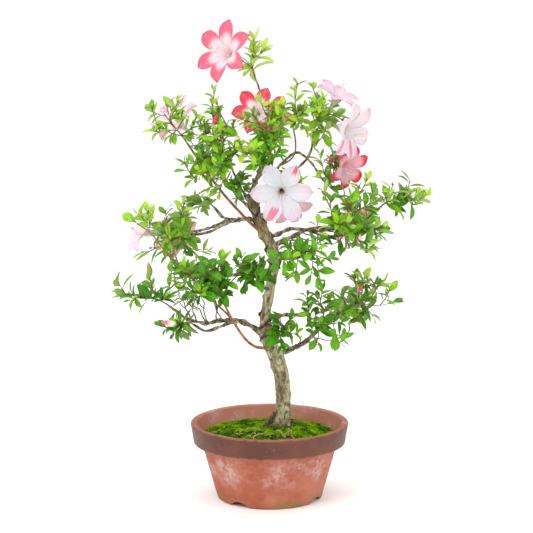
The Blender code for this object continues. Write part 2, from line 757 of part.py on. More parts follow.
def leaf_mesh():
    """A leaf of eight faces, one unit long from its root at the origin, along +Y, with its face to +Z."""
    bm = bmesh.new()
    bmesh.ops.create_uvsphere(bm, u_segments=4, v_segments=2, radius=0.5)
    bmesh.ops.rotate(bm, verts=bm.verts, matrix=Matrix.Rotation(math.pi / 2, 3, "X"))
    bmesh.ops.translate(bm, verts=bm.verts, vec=(0.0, 0.5, 0.0))
    return mesh_from_bmesh("leaf", bm)


def leaf_object(name, leaf, mesh, collection):
    obj = add_object(name, mesh, collection)
    root = leaf.root - leaf.way * LEAF_ROOT_DEPTH
    size = Matrix.Diagonal((LEAF_WIDTH, leaf.length, LEAF_THICKNESS, 1.0))
    obj.matrix_world = place_matrix(root, leaf.way.cross(leaf.face), leaf.way, leaf.face) @ size


def petal_point(across, along, radius, depth):
    """A point of the petal that spreads over +X, with the bloom facing +Z.

    The petals share their edges up the throat, part a third of the way along, and spread into lobes.
    """
    lobe = math.pi / BLOOM_LOBES
    if along < 0.4:
        reach, height, half = 0.90 * along, 1.86 * along, lobe
    elif along < 0.8:
        reach, height, half = 0.68, 0.95 - 0.05 * abs(across), 0.68 * lobe
    else:
        reach, height, half = 1.0 - 0.07 * abs(across), 1.0 - 0.05 * abs(across), 0.24 * lobe
    angle = half * across
    return Vector((
        radius * reach * math.cos(angle),
        radius * reach * math.sin(angle),
        depth * height,
    ))


def bloom_object(name, bloom, collection):
    """A bloom: six petals from one small grid each, welded into a funnel and thickened."""
    radius, depth = BLOOM_RADIUS * bloom.size, BLOOM_DEPTH * bloom.size
    bm = bmesh.new()
    for k in range(BLOOM_LOBES):
        grid = bmesh.ops.create_grid(bm, x_segments=2, y_segments=3, size=0.5)
        turn = Matrix.Rotation(math.tau * k / BLOOM_LOBES, 3, "Z")
        for vert in grid["verts"]:
            vert.co = turn @ petal_point(vert.co.x * 2, vert.co.y + 0.5, radius, depth)
    bmesh.ops.remove_doubles(bm, verts=bm.verts, dist=0.02 * MM)
    bmesh.ops.recalc_face_normals(bm, faces=bm.faces)
    obj = add_object(name, mesh_from_bmesh(name, bm), collection)
    wall = obj.modifiers.new("wall", "SOLIDIFY")
    wall.thickness = PETAL_THICKNESS
    wall.offset = 0.0
    obj = replace_by_mesh(obj, collection)
    facing = Vector(bloom.facing).normalized()
    side, other = square_to(facing)
    roll = Matrix.Rotation(math.radians(bloom.roll), 4, "Z")
    obj.matrix_world = place_matrix(vec_mm(bloom.throat), side, other, facing) @ roll
    return obj


def make_mass(space, seed, carrier, limb_faces, leaf, parts, cutters):
    """One mass: its stem with every twig, leaf and bloom fused on by one union."""
    rng = random.Random(seed)
    tip, heading, _ = point_on(carrier, 1.0)
    outline = section(TWIG_SIDES, cutters)
    loose = new_collection(f"{space.name}_pieces")
    twigs, petals = [], []
    for k, twig in enumerate(grow(space, tip + heading * GAP, heading, rng)):
        obj = tube(f"{space.name}_{k}", twig, outline, loose)
        faces = faces_of(obj)
        if k and not twig.bloom and crosses(faces, limb_faces + petals):
            bpy.data.objects.remove(obj)
            continue
        twigs.append((twig, faces))
        if twig.bloom:
            petals.append(faces_of(bloom_object(f"{obj.name}_bloom", twig.bloom, loose)))
    placed = []
    for twig, own in twigs:
        if twig.bloom:
            continue
        others = [faces for _, faces in twigs if faces is not own]
        obstacles = limb_faces + petals + others + placed
        for place in leaves_on(twig, space, rng, obstacles):
            leaf_object(f"{space.name}_leaf", place, leaf, loose)
        placed = obstacles[len(limb_faces) + len(petals) + len(others):]
    fuse(space.name, loose, parts)


def fuse(name, loose, parts):
    """The pieces of a collection joined into one body by one union, and the collection removed."""
    first, *others = loose.objects
    loose.objects.unlink(first)
    parts.objects.link(first)
    first.name = name
    boolean(first, "UNION", loose)
    fused = replace_by_mesh(first, parts)
    keep_largest_piece(fused)
    finish(fused, "leaf", 25.0)
    for obj in others:
        bpy.data.objects.remove(obj)
    bpy.data.collections.remove(loose)


def main():
    clear_scene()
    parts = new_collection("azalea")
    cutters = new_collection("cutters")
    make_pot(parts, cutters)
    make_earth(parts)
    make_moss(parts)
    limbs = lay_out_limbs()
    make_trunk(limbs["trunk"], parts, cutters)
    make_boughs(limbs, parts, cutters)
    limb_faces = room_round(limbs, cutters)
    carriers = {bough.mass: limbs[bough.name] for bough in BOUGHS}
    leaf = leaf_mesh()
    for seed, space in enumerate(SPACES):
        make_mass(space, seed, carriers[space.name], limb_faces, leaf, parts, cutters)


main()
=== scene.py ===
"""The looks of an azalea trained as a small tree, in its banded terracotta pot.

Lengths are in metres, +Z is up and the ground is at zero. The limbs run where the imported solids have
them, and each mass of foliage grows on from its bough by the same seeded rule as its solid, carried on
to finer shoots, life-size leaves, buds and blooms.
"""

import json
import logging
import math
import random
from dataclasses import dataclass, field
from enum import Enum
from functools import reduce
from typing import Callable, Iterator, NamedTuple, Optional, Sequence

import bmesh
import bpy
import numpy as np
from mathutils import Matrix, Vector, noise

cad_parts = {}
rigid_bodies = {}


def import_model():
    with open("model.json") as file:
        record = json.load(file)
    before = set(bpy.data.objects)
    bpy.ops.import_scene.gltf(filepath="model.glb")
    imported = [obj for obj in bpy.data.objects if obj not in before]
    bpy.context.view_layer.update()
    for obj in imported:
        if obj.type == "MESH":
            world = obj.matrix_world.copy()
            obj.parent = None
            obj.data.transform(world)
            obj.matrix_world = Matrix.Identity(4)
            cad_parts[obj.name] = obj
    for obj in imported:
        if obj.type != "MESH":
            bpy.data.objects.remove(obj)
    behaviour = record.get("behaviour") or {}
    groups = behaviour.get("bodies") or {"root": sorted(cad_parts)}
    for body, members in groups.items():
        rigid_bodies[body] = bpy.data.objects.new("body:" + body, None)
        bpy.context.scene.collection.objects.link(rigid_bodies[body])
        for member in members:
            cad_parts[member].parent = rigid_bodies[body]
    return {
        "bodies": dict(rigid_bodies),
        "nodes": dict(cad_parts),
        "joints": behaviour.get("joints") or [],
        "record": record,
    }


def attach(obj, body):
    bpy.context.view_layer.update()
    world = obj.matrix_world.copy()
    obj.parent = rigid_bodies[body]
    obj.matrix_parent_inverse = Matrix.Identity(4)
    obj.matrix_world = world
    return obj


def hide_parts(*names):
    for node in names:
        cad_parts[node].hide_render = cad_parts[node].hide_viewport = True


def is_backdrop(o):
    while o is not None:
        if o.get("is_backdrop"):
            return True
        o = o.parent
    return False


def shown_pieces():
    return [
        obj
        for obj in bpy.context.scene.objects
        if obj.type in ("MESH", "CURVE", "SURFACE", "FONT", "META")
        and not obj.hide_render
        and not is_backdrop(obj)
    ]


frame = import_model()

MM = 0.001
GAP = 0.3 * MM
BODY = "root"
EYE = (-0.0035, -2.0, 0.5835)
Pair = tuple[float, float]
Triple = tuple[float, float, float]
log = logging.getLogger("azalea")


# ================================================================ the plan: what grows where


class Space(NamedTuple):
    """The room of one mass of foliage: its centre and half sizes in millimetres, and its shoots."""

    name: str
    centre: Triple
    radii: Triple
    shoots: int


class Bough(NamedTuple):
    """A bough: the limb it leaves and where, its mass, bow, radius and reach, and its swing to and fro."""

    name: str
    parent: str
    at: float
    mass: str
    bow: Triple
    radius: float
    enter: float
    swing: Triple = (0, 0, 0)


class Tint(Enum):
    """How a bloom is coloured."""

    ROSE_EDGED = "rose"
    CORAL = "coral"
    CRIMSON = "crimson"
    BLUSH = "blush"
    PALE_PINK = "pale_pink"
    FAINT = "faint"
    WHITE = "white"
    PINK = "pink"


class Bloom(NamedTuple):
    """A bloom: its mass, throat in millimetres, facing, turn in degrees, size, tint and odd lobes."""

    mass: str
    throat: Triple
    facing: Triple
    roll: float
    size: float
    tint: Tint
    marks: dict[int, str]


SPACES = (
    Space("apex", (-16, -7, 504), (30, 28, 33), 3),
    Space("upper_front", (-6, -44, 417), (37, 30, 54), 6),
    Space("upper_centre", (32, 2, 442), (25, 30, 28), 2),
    Space("upper_right", (66, -11, 440), (38, 38, 38), 5),
    Space("right_blooms", (78, 4, 376), (34, 34, 30), 4),
    Space("upper_left_outer", (-109, -10, 428), (41, 44, 36), 7),
    Space("upper_left_inner", (-58, -20, 404), (38, 36, 58), 8),
    Space("left_knob", (-80, 28, 336), (24, 24, 16), 2),
    Space("left_middle", (-112, -10, 297), (39, 40, 43), 6),
    Space("left_low_front", (-69, -70, 260), (44, 36, 40), 7),
    Space("left_far_low", (-141, -8, 232), (42, 32, 27), 4),
    Space("left_bottom", (-102, -40, 206), (25, 26, 25), 3),
    Space("centre_front", (-20, -64, 268), (35, 28, 30), 4),
    Space("white_blooms", (14, -30, 348), (36, 28, 36), 1),
    Space("right_front", (40, -76, 290), (44, 36, 38), 6),
    Space("right_middle", (96, -18, 319), (46, 42, 46), 7),
    Space("right_far", (149, -4, 343), (38, 36, 27), 3),
    Space("right_low_outer", (104, -2, 228), (45, 42, 41), 6),
    Space("right_low_inner", (62, -42, 209), (34, 32, 34), 5),
    Space("low_front", (16, -56, 204), (27, 28, 38), 5),
    Space("back_upper", (0, 70, 409), (38, 34, 37), 3),
    Space("back_upper_left", (-67, 70, 379), (36, 34, 34), 3),
    Space("back_left", (-110, 76, 292), (36, 34, 36), 3),
    Space("back_right", (101, 76, 303), (41, 34, 34), 3),
    Space("back_low_left", (-86, 70, 242), (36, 36, 27), 2),
    Space("back_low_right", (99, 72, 214), (42, 36, 30), 3),
    Space("left_inner_low", (-36, -24, 365), (25, 26, 25), 3),
)

BOUGHS = (
    Bough("leader", "trunk", 1.0, "apex", (16, 18, 0), 2.2, 0.65),
    Bough("upper_front_bough", "leader", 0.18, "upper_front", (0, -4, -4), 1.7, 0.75),
    Bough("arch", "trunk", 0.93, "right_blooms", (2, 4, 42), 2.4, 0.65, (0, 0, -2)),
    Bough("upper_right_bough", "arch", 0.30, "upper_right", (10, 2, -14), 1.9, 0.65),
    Bough("upper_centre_bough", "arch", 0.38, "upper_centre", (8, -4, -8), 1.5, 0.70),
    Bough("upper_left_bough", "trunk", 0.80, "upper_left_outer", (0, -6, -8), 2.4, 0.70),
    Bough("upper_left_inner_bough", "trunk", 0.96, "upper_left_inner", (0, 0, -4), 2.0, 0.75),
    Bough("left_middle_bough", "trunk", 0.863, "left_knob", (0, 0, -5), 2.5, 0.85, (0, 0, 4)),
    Bough("left_drooping_bough", "left_middle_bough", 0.45, "left_middle", (0, 0, -2), 1.8, 0.65, (0, 0, 2)),
    Bough("left_low_bough", "trunk", 0.425, "left_far_low", (0, -9, 3), 3.2, 0.75, (0, 0, 9)),
    Bough("left_bottom_bough", "left_low_bough", 0.32, "left_bottom", (0, -2, -7), 1.9, 0.75, (0, 0, 2)),
    Bough("left_sweeping_bough", "trunk", 0.385, "left_low_front", (-3, -8, -15), 2.4, 0.70, (0, 0, -2)),
    Bough("centre_front_bough", "trunk", 0.60, "centre_front", (-2, 0, -3), 1.7, 0.75),
    Bough("white_bloom_bough", "trunk", 0.905, "white_blooms", (2, 0, -4), 1.7, 0.75),
    Bough("right_middle_bough", "trunk", 0.76, "right_middle", (0, 0, 6), 2.7, 0.60, (0, 0, -2)),
    Bough("right_far_bough", "right_middle_bough", 0.62, "right_far", (2, -14, -15), 1.8, 0.70, (0, 0, -2)),
    Bough("right_front_bough", "trunk", 0.72, "right_front", (3, 0, -3), 2.0, 0.75),
    Bough("right_low_bough", "trunk", 0.36, "right_low_outer", (4, 6, -6), 3.3, 0.65, (0, 0, -3)),
    Bough("right_low_inner_bough", "right_low_bough", 0.3, "right_low_inner", (2, 0, -2), 1.7, 0.70),
    Bough("low_front_bough", "trunk", 0.47, "low_front", (2, 0, 2), 1.7, 0.70),
    Bough("back_upper_bough", "leader", 0.10, "back_upper", (2, 0, -6), 1.9, 0.70),
    Bough("back_upper_left_bough", "trunk", 0.92, "back_upper_left", (0, 2, -6), 2.0, 0.70),
    Bough("back_left_bough", "left_middle_bough", 0.22, "back_left", (0, 4, 2), 1.9, 0.70, (0, 0, 2)),
    Bough("back_right_bough", "trunk", 0.79, "back_right", (0, 6, 4), 2.3, 0.70, (0, 0, 3)),
    Bough("back_low_left_bough", "trunk", 0.63, "back_low_left", (0, 6, 4), 2.3, 0.70),
    Bough("back_low_right_bough", "trunk", 0.50, "back_low_right", (0, 6, -4), 2.6, 0.70, (0, 0, 3)),
    Bough("left_inner_low_bough", "trunk", 0.885, "left_inner_low", (0, -3, 0), 1.7, 0.75),
)

BLOOMS = (
    Bloom("apex", (-34, -2, 500), (-0.57, -0.75, 0.33), 31.0, 1.08, Tint.ROSE_EDGED, {}),
    Bloom("upper_front", (-11, 4, 436), (-0.14, -0.92, 0.35), 9.0, 0.82, Tint.CORAL, {}),
    Bloom("upper_left_outer", (-92, 24, 418), (-0.6, -0.5, 0.62), 37.0, 0.95, Tint.PALE_PINK, {}),
    Bloom("white_blooms", (13, -24, 357), (0.0, -1.0, -0.02), 0.0, 1.04, Tint.WHITE, {1: "white_half", 4: "white_tip"}),
    Bloom("white_blooms", (16, -6, 350), (0.40, -0.66, -0.62), 5.0, 0.8, Tint.PINK, {}),
    Bloom("upper_right", (67, 2, 444), (0.4, -0.3, 0.87), 25.0, 0.78, Tint.BLUSH, {}),
    Bloom(
        "upper_right", (69, -12, 428), (0.80, -0.56, -0.22), -16.0, 1.0, Tint.WHITE, {2: "white_line", 1: "white_line"}
    ),
    Bloom("right_blooms", (75, 14, 386), (0.62, -0.72, -0.3), 24.0, 0.8, Tint.CRIMSON, {}),
    Bloom("left_middle", (-124, 4, 302), (-0.88, -0.3, 0.3), 10.0, 0.9, Tint.FAINT, {}),
    Bloom("back_upper", (-4, 76, 423), (0.2, 0.93, 0.3), 8.0, 0.85, Tint.ROSE_EDGED, {}),
    Bloom("back_left", (-106, 77, 287), (-0.25, 0.95, 0.08), 30.0, 0.85, Tint.WHITE, {3: "white_half"}),
    Bloom("back_right", (91, 77, 300), (0.3, 0.93, 0.1), 16.0, 0.85, Tint.PALE_PINK, {}),
)

TRUNK_STATIONS_MM = (
    (12.0, 8.0, 72.0, 14.5), (12.5, 8.0, 79.0, 12.2), (14.0, 8.0, 85.0, 10.2), (15.6, 7.0, 97.0, 9.1),
    (15.6, 5.0, 118.0, 8.6), (13.6, 3.0, 139.0, 8.4), (10.5, 1.0, 155.0, 8.3), (4.5, 0.0, 169.0, 8.3),
    (-2.0, 0.0, 182.0, 7.2), (-5.0, 0.0, 197.0, 6.4), (-4.2, 0.0, 214.0, 5.7), (-0.8, 0.0, 233.0, 5.3),
    (2.8, 0.0, 253.0, 5.4), (5.2, 0.0, 270.0, 5.8), (4.0, 0.0, 284.0, 6.6), (-2.5, 0.0, 298.0, 5.9),
    (-8.5, 0.0, 311.0, 6.2), (-14.0, 0.0, 324.0, 5.1), (-18.5, 0.0, 336.0, 4.4), (-22.0, 0.0, 350.0, 3.8),
)

MASSES = tuple(space.name for space in SPACES)


class Habit(NamedTuple):
    """How a mass is clothed: its leaves' size, its side shoots and its finer twigs, each beside the usual."""

    leaf: float = 1.0
    shoots: float = 1.0
    finer: float = 1.0


HABITS = {
    "apex": Habit(1.45, 0.4, 0.0),
    "upper_left_outer": Habit(1.0, 0.75, 0.6),
    "upper_left_inner": Habit(0.88, 1.25, 2.4),
    "left_inner_low": Habit(0.85, 1.2, 2.4),
    "upper_front": Habit(0.95, 1.15, 2.0),
    "back_upper_left": Habit(0.9, 1.0, 1.5),
    "centre_front": Habit(1.02, 0.7, 0.5),
    "low_front": Habit(0.84, 0.35, 0.0),
    "left_low_front": Habit(0.92, 1.0, 1.4),
    "left_middle": Habit(0.92, 1.05, 1.2),
    "right_front": Habit(0.84, 0.75, 1.5),
    "right_middle": Habit(0.93, 1.05, 1.6),
    "left_far_low": Habit(0.95, 0.55, 0.5),
    "left_bottom": Habit(0.85, 0.8, 0.8),
    "right_low_inner": Habit(0.85, 1.0, 1.6),
    "right_low_outer": Habit(0.88, 1.0, 1.2),
}

# Tips of sprays that lean out of a mass or fill its rim (mm), by the mass that bears them.
SPRAYS = {
    "left_middle": ((-152, -44, 326), (-144, -44, 332), (-70, -10, 285), (-108, -46, 266)),
    "upper_left_outer": ((-80, -14, 440), (-134, -16, 446), (-102, -16, 454)),
    "upper_left_inner": ((-77, -24, 424), (-64, -24, 452), (-90, -24, 386), (-86, -24, 368), (-34, -30, 402),
                         (-80, -20, 430), (-84, -20, 418)),
    "right_middle": ((67, -24, 346), (82, -26, 352), (98, -24, 357), (115, -22, 356), (115, -24, 292), (104, -30, 312),
                     (110, -26, 318), (122, -22, 306), (110, -26, 288)),
    "right_far": ((143, -10, 332), (176, -8, 350), (160, -12, 338)),
    "right_front": ((66, -80, 288), (52, -70, 326), (45, -72, 268), (56, -72, 262), (22, -66, 264)),
    "centre_front": ((-31, -64, 286), (-29, -66, 256), (-39, -60, 282)),
    "right_blooms": ((56, -14, 394),),
    "left_inner_low": ((-54, -26, 370),),
    "left_low_front": ((-36, -72, 278), (-40, -74, 258), (-86, -74, 244), (-97, -70, 242), (-104, -52, 258)),
    "right_low_inner": ((43, -50, 228), (41, -54, 238), (52, -52, 241), (66, -52, 238)),
    "low_front": ((30, -58, 201),),
    "right_low_outer": ((107, -12, 257), (101, -26, 210), (92, -28, 208)),
    "upper_centre": ((28, -4, 460), (38, -16, 424)),
    "upper_right": ((54, -22, 410), (48, -20, 420)),
    "left_bottom": ((-90, -24, 201), (-98, -28, 196)),
    "upper_front": ((-5, -56, 380), (-14, -52, 386), (4, -46, 424), (-6, -48, 414), (12, -44, 438)),
    "left_far_low": ((-170, -12, 250), (-154, -20, 230), (-117, -24, 233)),
}

# Places where sky shows between the sprays from in front: across, height and radius (mm).
SKY = (
    (-4, 486, 11), (-117, 441, 11), (-47, 440, 9), (-126, 325, 7), (138, 367, 7), (77, 253, 10), (128, 220, 11),
    (-19, 235, 8), (-138, 220, 7), (15, 209, 7), (-79, 311, 10), (164, 372, 10), (109, 336, 8), (-151, 313, 7),
    (-139, 290, 9), (12, 226, 10), (55, 185, 10), (-76, 361, 7), (-42, 228, 7),
)

# How much slimmer some boughs are than the usual, and which of them are smooth young wood.
SLIM_BOUGHS = {
    "leader": 0.55, "upper_centre_bough": 0.6, "arch": 0.75, "upper_right_bough": 0.75, "upper_front_bough": 0.75,
    "upper_left_bough": 0.8, "upper_left_inner_bough": 0.8, "left_sweeping_bough": 0.85, "right_far_bough": 0.8,
}
SMOOTH_BOUGHS = {"left_sweeping_bough", "upper_left_bough", "low_front_bough", "upper_centre_bough"}


# ================================================================ small tools


def vec_mm(values: Sequence[float]) -> Vector:
    """A vector in metres from lengths in millimetres."""
    return Vector(values) * MM


def ease(value: float, low: float, high: float) -> float:
    """A smooth step from 0 at the low value to 1 at the high one."""
    share = min(1.0, max(0.0, (value - low) / (high - low)))
    return share * share * (3.0 - 2.0 * share)


def smooth_rows(rows: np.ndarray, shares: np.ndarray) -> np.ndarray:
    """Rows read from a smooth curve through the given rows.

    Args:
        rows: One row for each station, with any number of columns.
        shares: How far along each wanted row is, from 0 to 1.

    Returns:
        One row for each share.
    """
    padded = np.vstack([2 * rows[0] - rows[1], rows, 2 * rows[-1] - rows[-2]])
    place = np.clip(shares, 0.0, 1.0) * (len(rows) - 1)
    k = np.minimum(place.astype(int), len(rows) - 2)
    t = (place - k)[:, None]
    a, b, c, d = (padded[k + i] for i in range(4))
    return 0.5 * (2 * b + (c - a) * t + (2 * a - 5 * b + 4 * c - d) * t**2 + (3 * b - a - 3 * c + d) * t**3)


def length_of(points: Sequence[Vector]) -> float:
    """The length of a line through points."""
    return sum((b - a).length for a, b in zip(points, points[1:]))


def any_way(rng: random.Random, rise: float = 0.0) -> Vector:
    """A random vector that leans no way but upwards, by its rise."""
    return Vector((rng.gauss(0, 1), rng.gauss(0, 1), rng.gauss(rise, 1)))


def level_way(angle: float, rise: float = 0.0) -> Vector:
    """The level direction at an angle, with a rise added."""
    return Vector((math.cos(angle), math.sin(angle), rise))


def square_to(direction: Vector) -> tuple[Vector, Vector]:
    """Two axes square to a direction, the first one level."""
    side = direction.cross(Vector((0.0, 0.0, 1.0)))
    if side.length < 0.1:
        side = Vector((1.0, 0.0, 0.0)) - direction * direction.x
    side.normalize()
    return side, direction.cross(side).normalized()


def place_matrix(origin: Vector, x_axis: Vector, y_axis: Vector, z_axis: Vector) -> Matrix:
    """The matrix that sets the three axes down at an origin."""
    return Matrix.Translation(origin) @ Matrix((x_axis, y_axis, z_axis)).transposed().to_4x4()


def way_on_cone(axis: Vector, angle: float, lean: float) -> Vector:
    """The direction that leans away from an axis, turned about it by an angle."""
    side, other = square_to(axis)
    return axis * math.cos(lean) + (side * math.cos(angle) + other * math.sin(angle)) * math.sin(lean)


def ball(around: int, along: int, radius: float = 0.5, laid: bool = False) -> bmesh.types.BMesh:
    """A sphere to be shaped, with a pattern map.

    Args:
        around: Its faces round its axis.
        along: Its faces from pole to pole.
        radius: Its radius.
        laid: Whether its axis is laid along Y, and doesn't stand up.

    Returns:
        The sphere.
    """
    bm = bmesh.new()
    bm.loops.layers.uv.verify()
    bmesh.ops.create_uvsphere(bm, u_segments=around, v_segments=along, radius=radius, calc_uvs=True)
    if laid:
        bmesh.ops.rotate(bm, verts=bm.verts, matrix=Matrix.Rotation(-math.pi / 2, 3, "X"))
    return bm


def turned(profile: Sequence[Pair], steps: int, closed: bool) -> bmesh.types.BMesh:
    """A profile turned about the upright axis.

    Args:
        profile: Its points, each a radius and a height.
        steps: The faces round the axis.
        closed: Whether its last point is joined to its first.

    Returns:
        The turned surface.
    """
    bm = bmesh.new()
    verts = [bm.verts.new((radius, 0.0, height)) for radius, height in profile]
    edges = [bm.edges.new(pair) for pair in zip(verts, verts[1:] + (verts[:1] if closed else []))]
    bmesh.ops.spin(
        bm, geom=verts + edges, cent=(0, 0, 0), axis=(0, 0, 1), angle=math.tau, steps=steps, use_merge=True,
        use_duplicate=False,
    )
    bmesh.ops.remove_doubles(bm, verts=bm.verts, dist=1e-6)
    return bm


@dataclass
class Stock:
    """A small mesh kept as arrays, to be set down many times over.

    Attributes:
        points: Its vertices.
        corners: The vertex at each face corner.
        starts: The first corner of each face.
        uv: The pattern place at each face corner.
        slots: The material slot of each face.
    """

    points: np.ndarray
    corners: np.ndarray
    starts: np.ndarray
    uv: np.ndarray
    slots: np.ndarray

    @classmethod
    def of(cls, bm: bmesh.types.BMesh) -> "Stock":
        """Reads a bmesh into arrays and frees it.

        Args:
            bm: The mesh, with a UV layer.

        Returns:
            The stock.
        """
        bm.verts.index_update()
        layer = bm.loops.layers.uv.verify()
        points = np.array([vert.co[:] for vert in bm.verts])
        corners, starts, uv, slots = [], [], [], []
        for face in bm.faces:
            starts.append(len(corners))
            slots.append(face.material_index)
            for loop in face.loops:
                corners.append(loop.vert.index)
                uv.append(loop[layer].uv[:])
        bm.free()
        return cls(points, np.array(corners), np.array(starts), np.array(uv), np.array(slots))

    def moved(self, matrix: Matrix) -> np.ndarray:
        """The stock's points after a matrix."""
        m = np.array(matrix)
        return self.points @ m[:3, :3].T + m[:3, 3]


@dataclass
class Bundle:
    """Copies of small meshes that are joined into one piece."""

    name: str
    points: list[np.ndarray] = field(default_factory=list)
    corners: list[np.ndarray] = field(default_factory=list)
    starts: list[np.ndarray] = field(default_factory=list)
    uv: list[np.ndarray] = field(default_factory=list)
    slots: list[np.ndarray] = field(default_factory=list)
    point_count: int = 0
    corner_count: int = 0

    def add(
        self, stock: Stock, points: np.ndarray, slot: Optional[int] = None, shades: Optional[np.ndarray] = None
    ) -> None:
        """Sets one copy down.

        Args:
            stock: The small mesh.
            points: Where its vertices go.
            slot: A material slot for the whole copy, or None to keep the stock's own.
            shades: A painted shade for each vertex, which takes the place of the pattern's first part.
        """
        self.points.append(points)
        self.corners.append(stock.corners + self.point_count)
        self.starts.append(stock.starts + self.corner_count)
        uv = stock.uv if shades is None else np.column_stack([shades[stock.corners], stock.uv[:, 1]])
        self.uv.append(uv)
        self.slots.append(stock.slots if slot is None else np.full(len(stock.slots), slot))
        self.point_count += len(points)
        self.corner_count += len(stock.corners)

    def mesh(self) -> bpy.types.Mesh:
        """All the copies as one mesh."""
        made = bpy.data.meshes.new(self.name)
        corners, starts = np.concatenate(self.corners), np.concatenate(self.starts)
        made.vertices.add(self.point_count)
        made.vertices.foreach_set("co", np.concatenate(self.points).astype(np.float32).ravel())
        made.loops.add(len(corners))
        made.loops.foreach_set("vertex_index", corners.astype(np.int32))
        made.polygons.add(len(starts))
        made.polygons.foreach_set("loop_start", starts.astype(np.int32))
        made.polygons.foreach_set("material_index", np.concatenate(self.slots).astype(np.int32))
        layer = made.uv_layers.new(name="UVMap")
        layer.uv.foreach_set("vector", np.concatenate(self.uv).astype(np.float32).ravel())
        made.update(calc_edges=True)
        made.validate()
        return made

    def piece(
        self, finishes: Sequence["Finish"], nodes: Sequence[str] = MASSES, slot: str = "foliage",
        sharp_deg: float = 50.0,
    ) -> bpy.types.Object:
        """All the copies as one finished piece, with what piece_of takes."""
        return piece_of(self.name, self.mesh(), finishes, nodes, sharp_deg)


def piece_of(
    name: str,
    mesh: bpy.types.Mesh,
    finishes: Sequence["Finish"],
    nodes: Sequence[str],
    sharp_deg: float = 50.0,
) -> bpy.types.Object:
    """Makes a finished piece of the part.

    Args:
        name: The piece's name.
        mesh: Its mesh, in place.
        finishes: The finish of each material slot.
        nodes: The solids that it stands for.
        sharp_deg: The angle past which an edge is drawn sharp.

    Returns:
        The piece's object, riding on the part.
    """
    mesh.name = name
    for finish in finishes:
        mesh.materials.append(finish.material())
    mesh.shade_smooth()
    mesh.set_sharp_from_angle(angle=math.radians(sharp_deg))
    obj = bpy.data.objects.new(name, mesh)
    bpy.context.scene.collection.objects.link(obj)
    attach(obj, BODY)
    if nodes:
        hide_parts(*nodes)
    return obj


def mesh_of(name: str, bm: bmesh.types.BMesh) -> bpy.types.Mesh:
    """A mesh from a bmesh, which is freed."""
    made = bpy.data.meshes.new(name)
    bm.to_mesh(made)
    bm.free()
    return made


# ================================================================ shader effects and finishes


def rgb(colour: Triple, dim: float = 1.0) -> tuple[float, float, float, float]:
    """A linear colour from screen values of 0 to 255, dimmed by a share."""
    return (*((((v / 255 + 0.055) / 1.055) ** 2.4 if v > 10 else v / 3294) * dim for v in colour), 1.0)


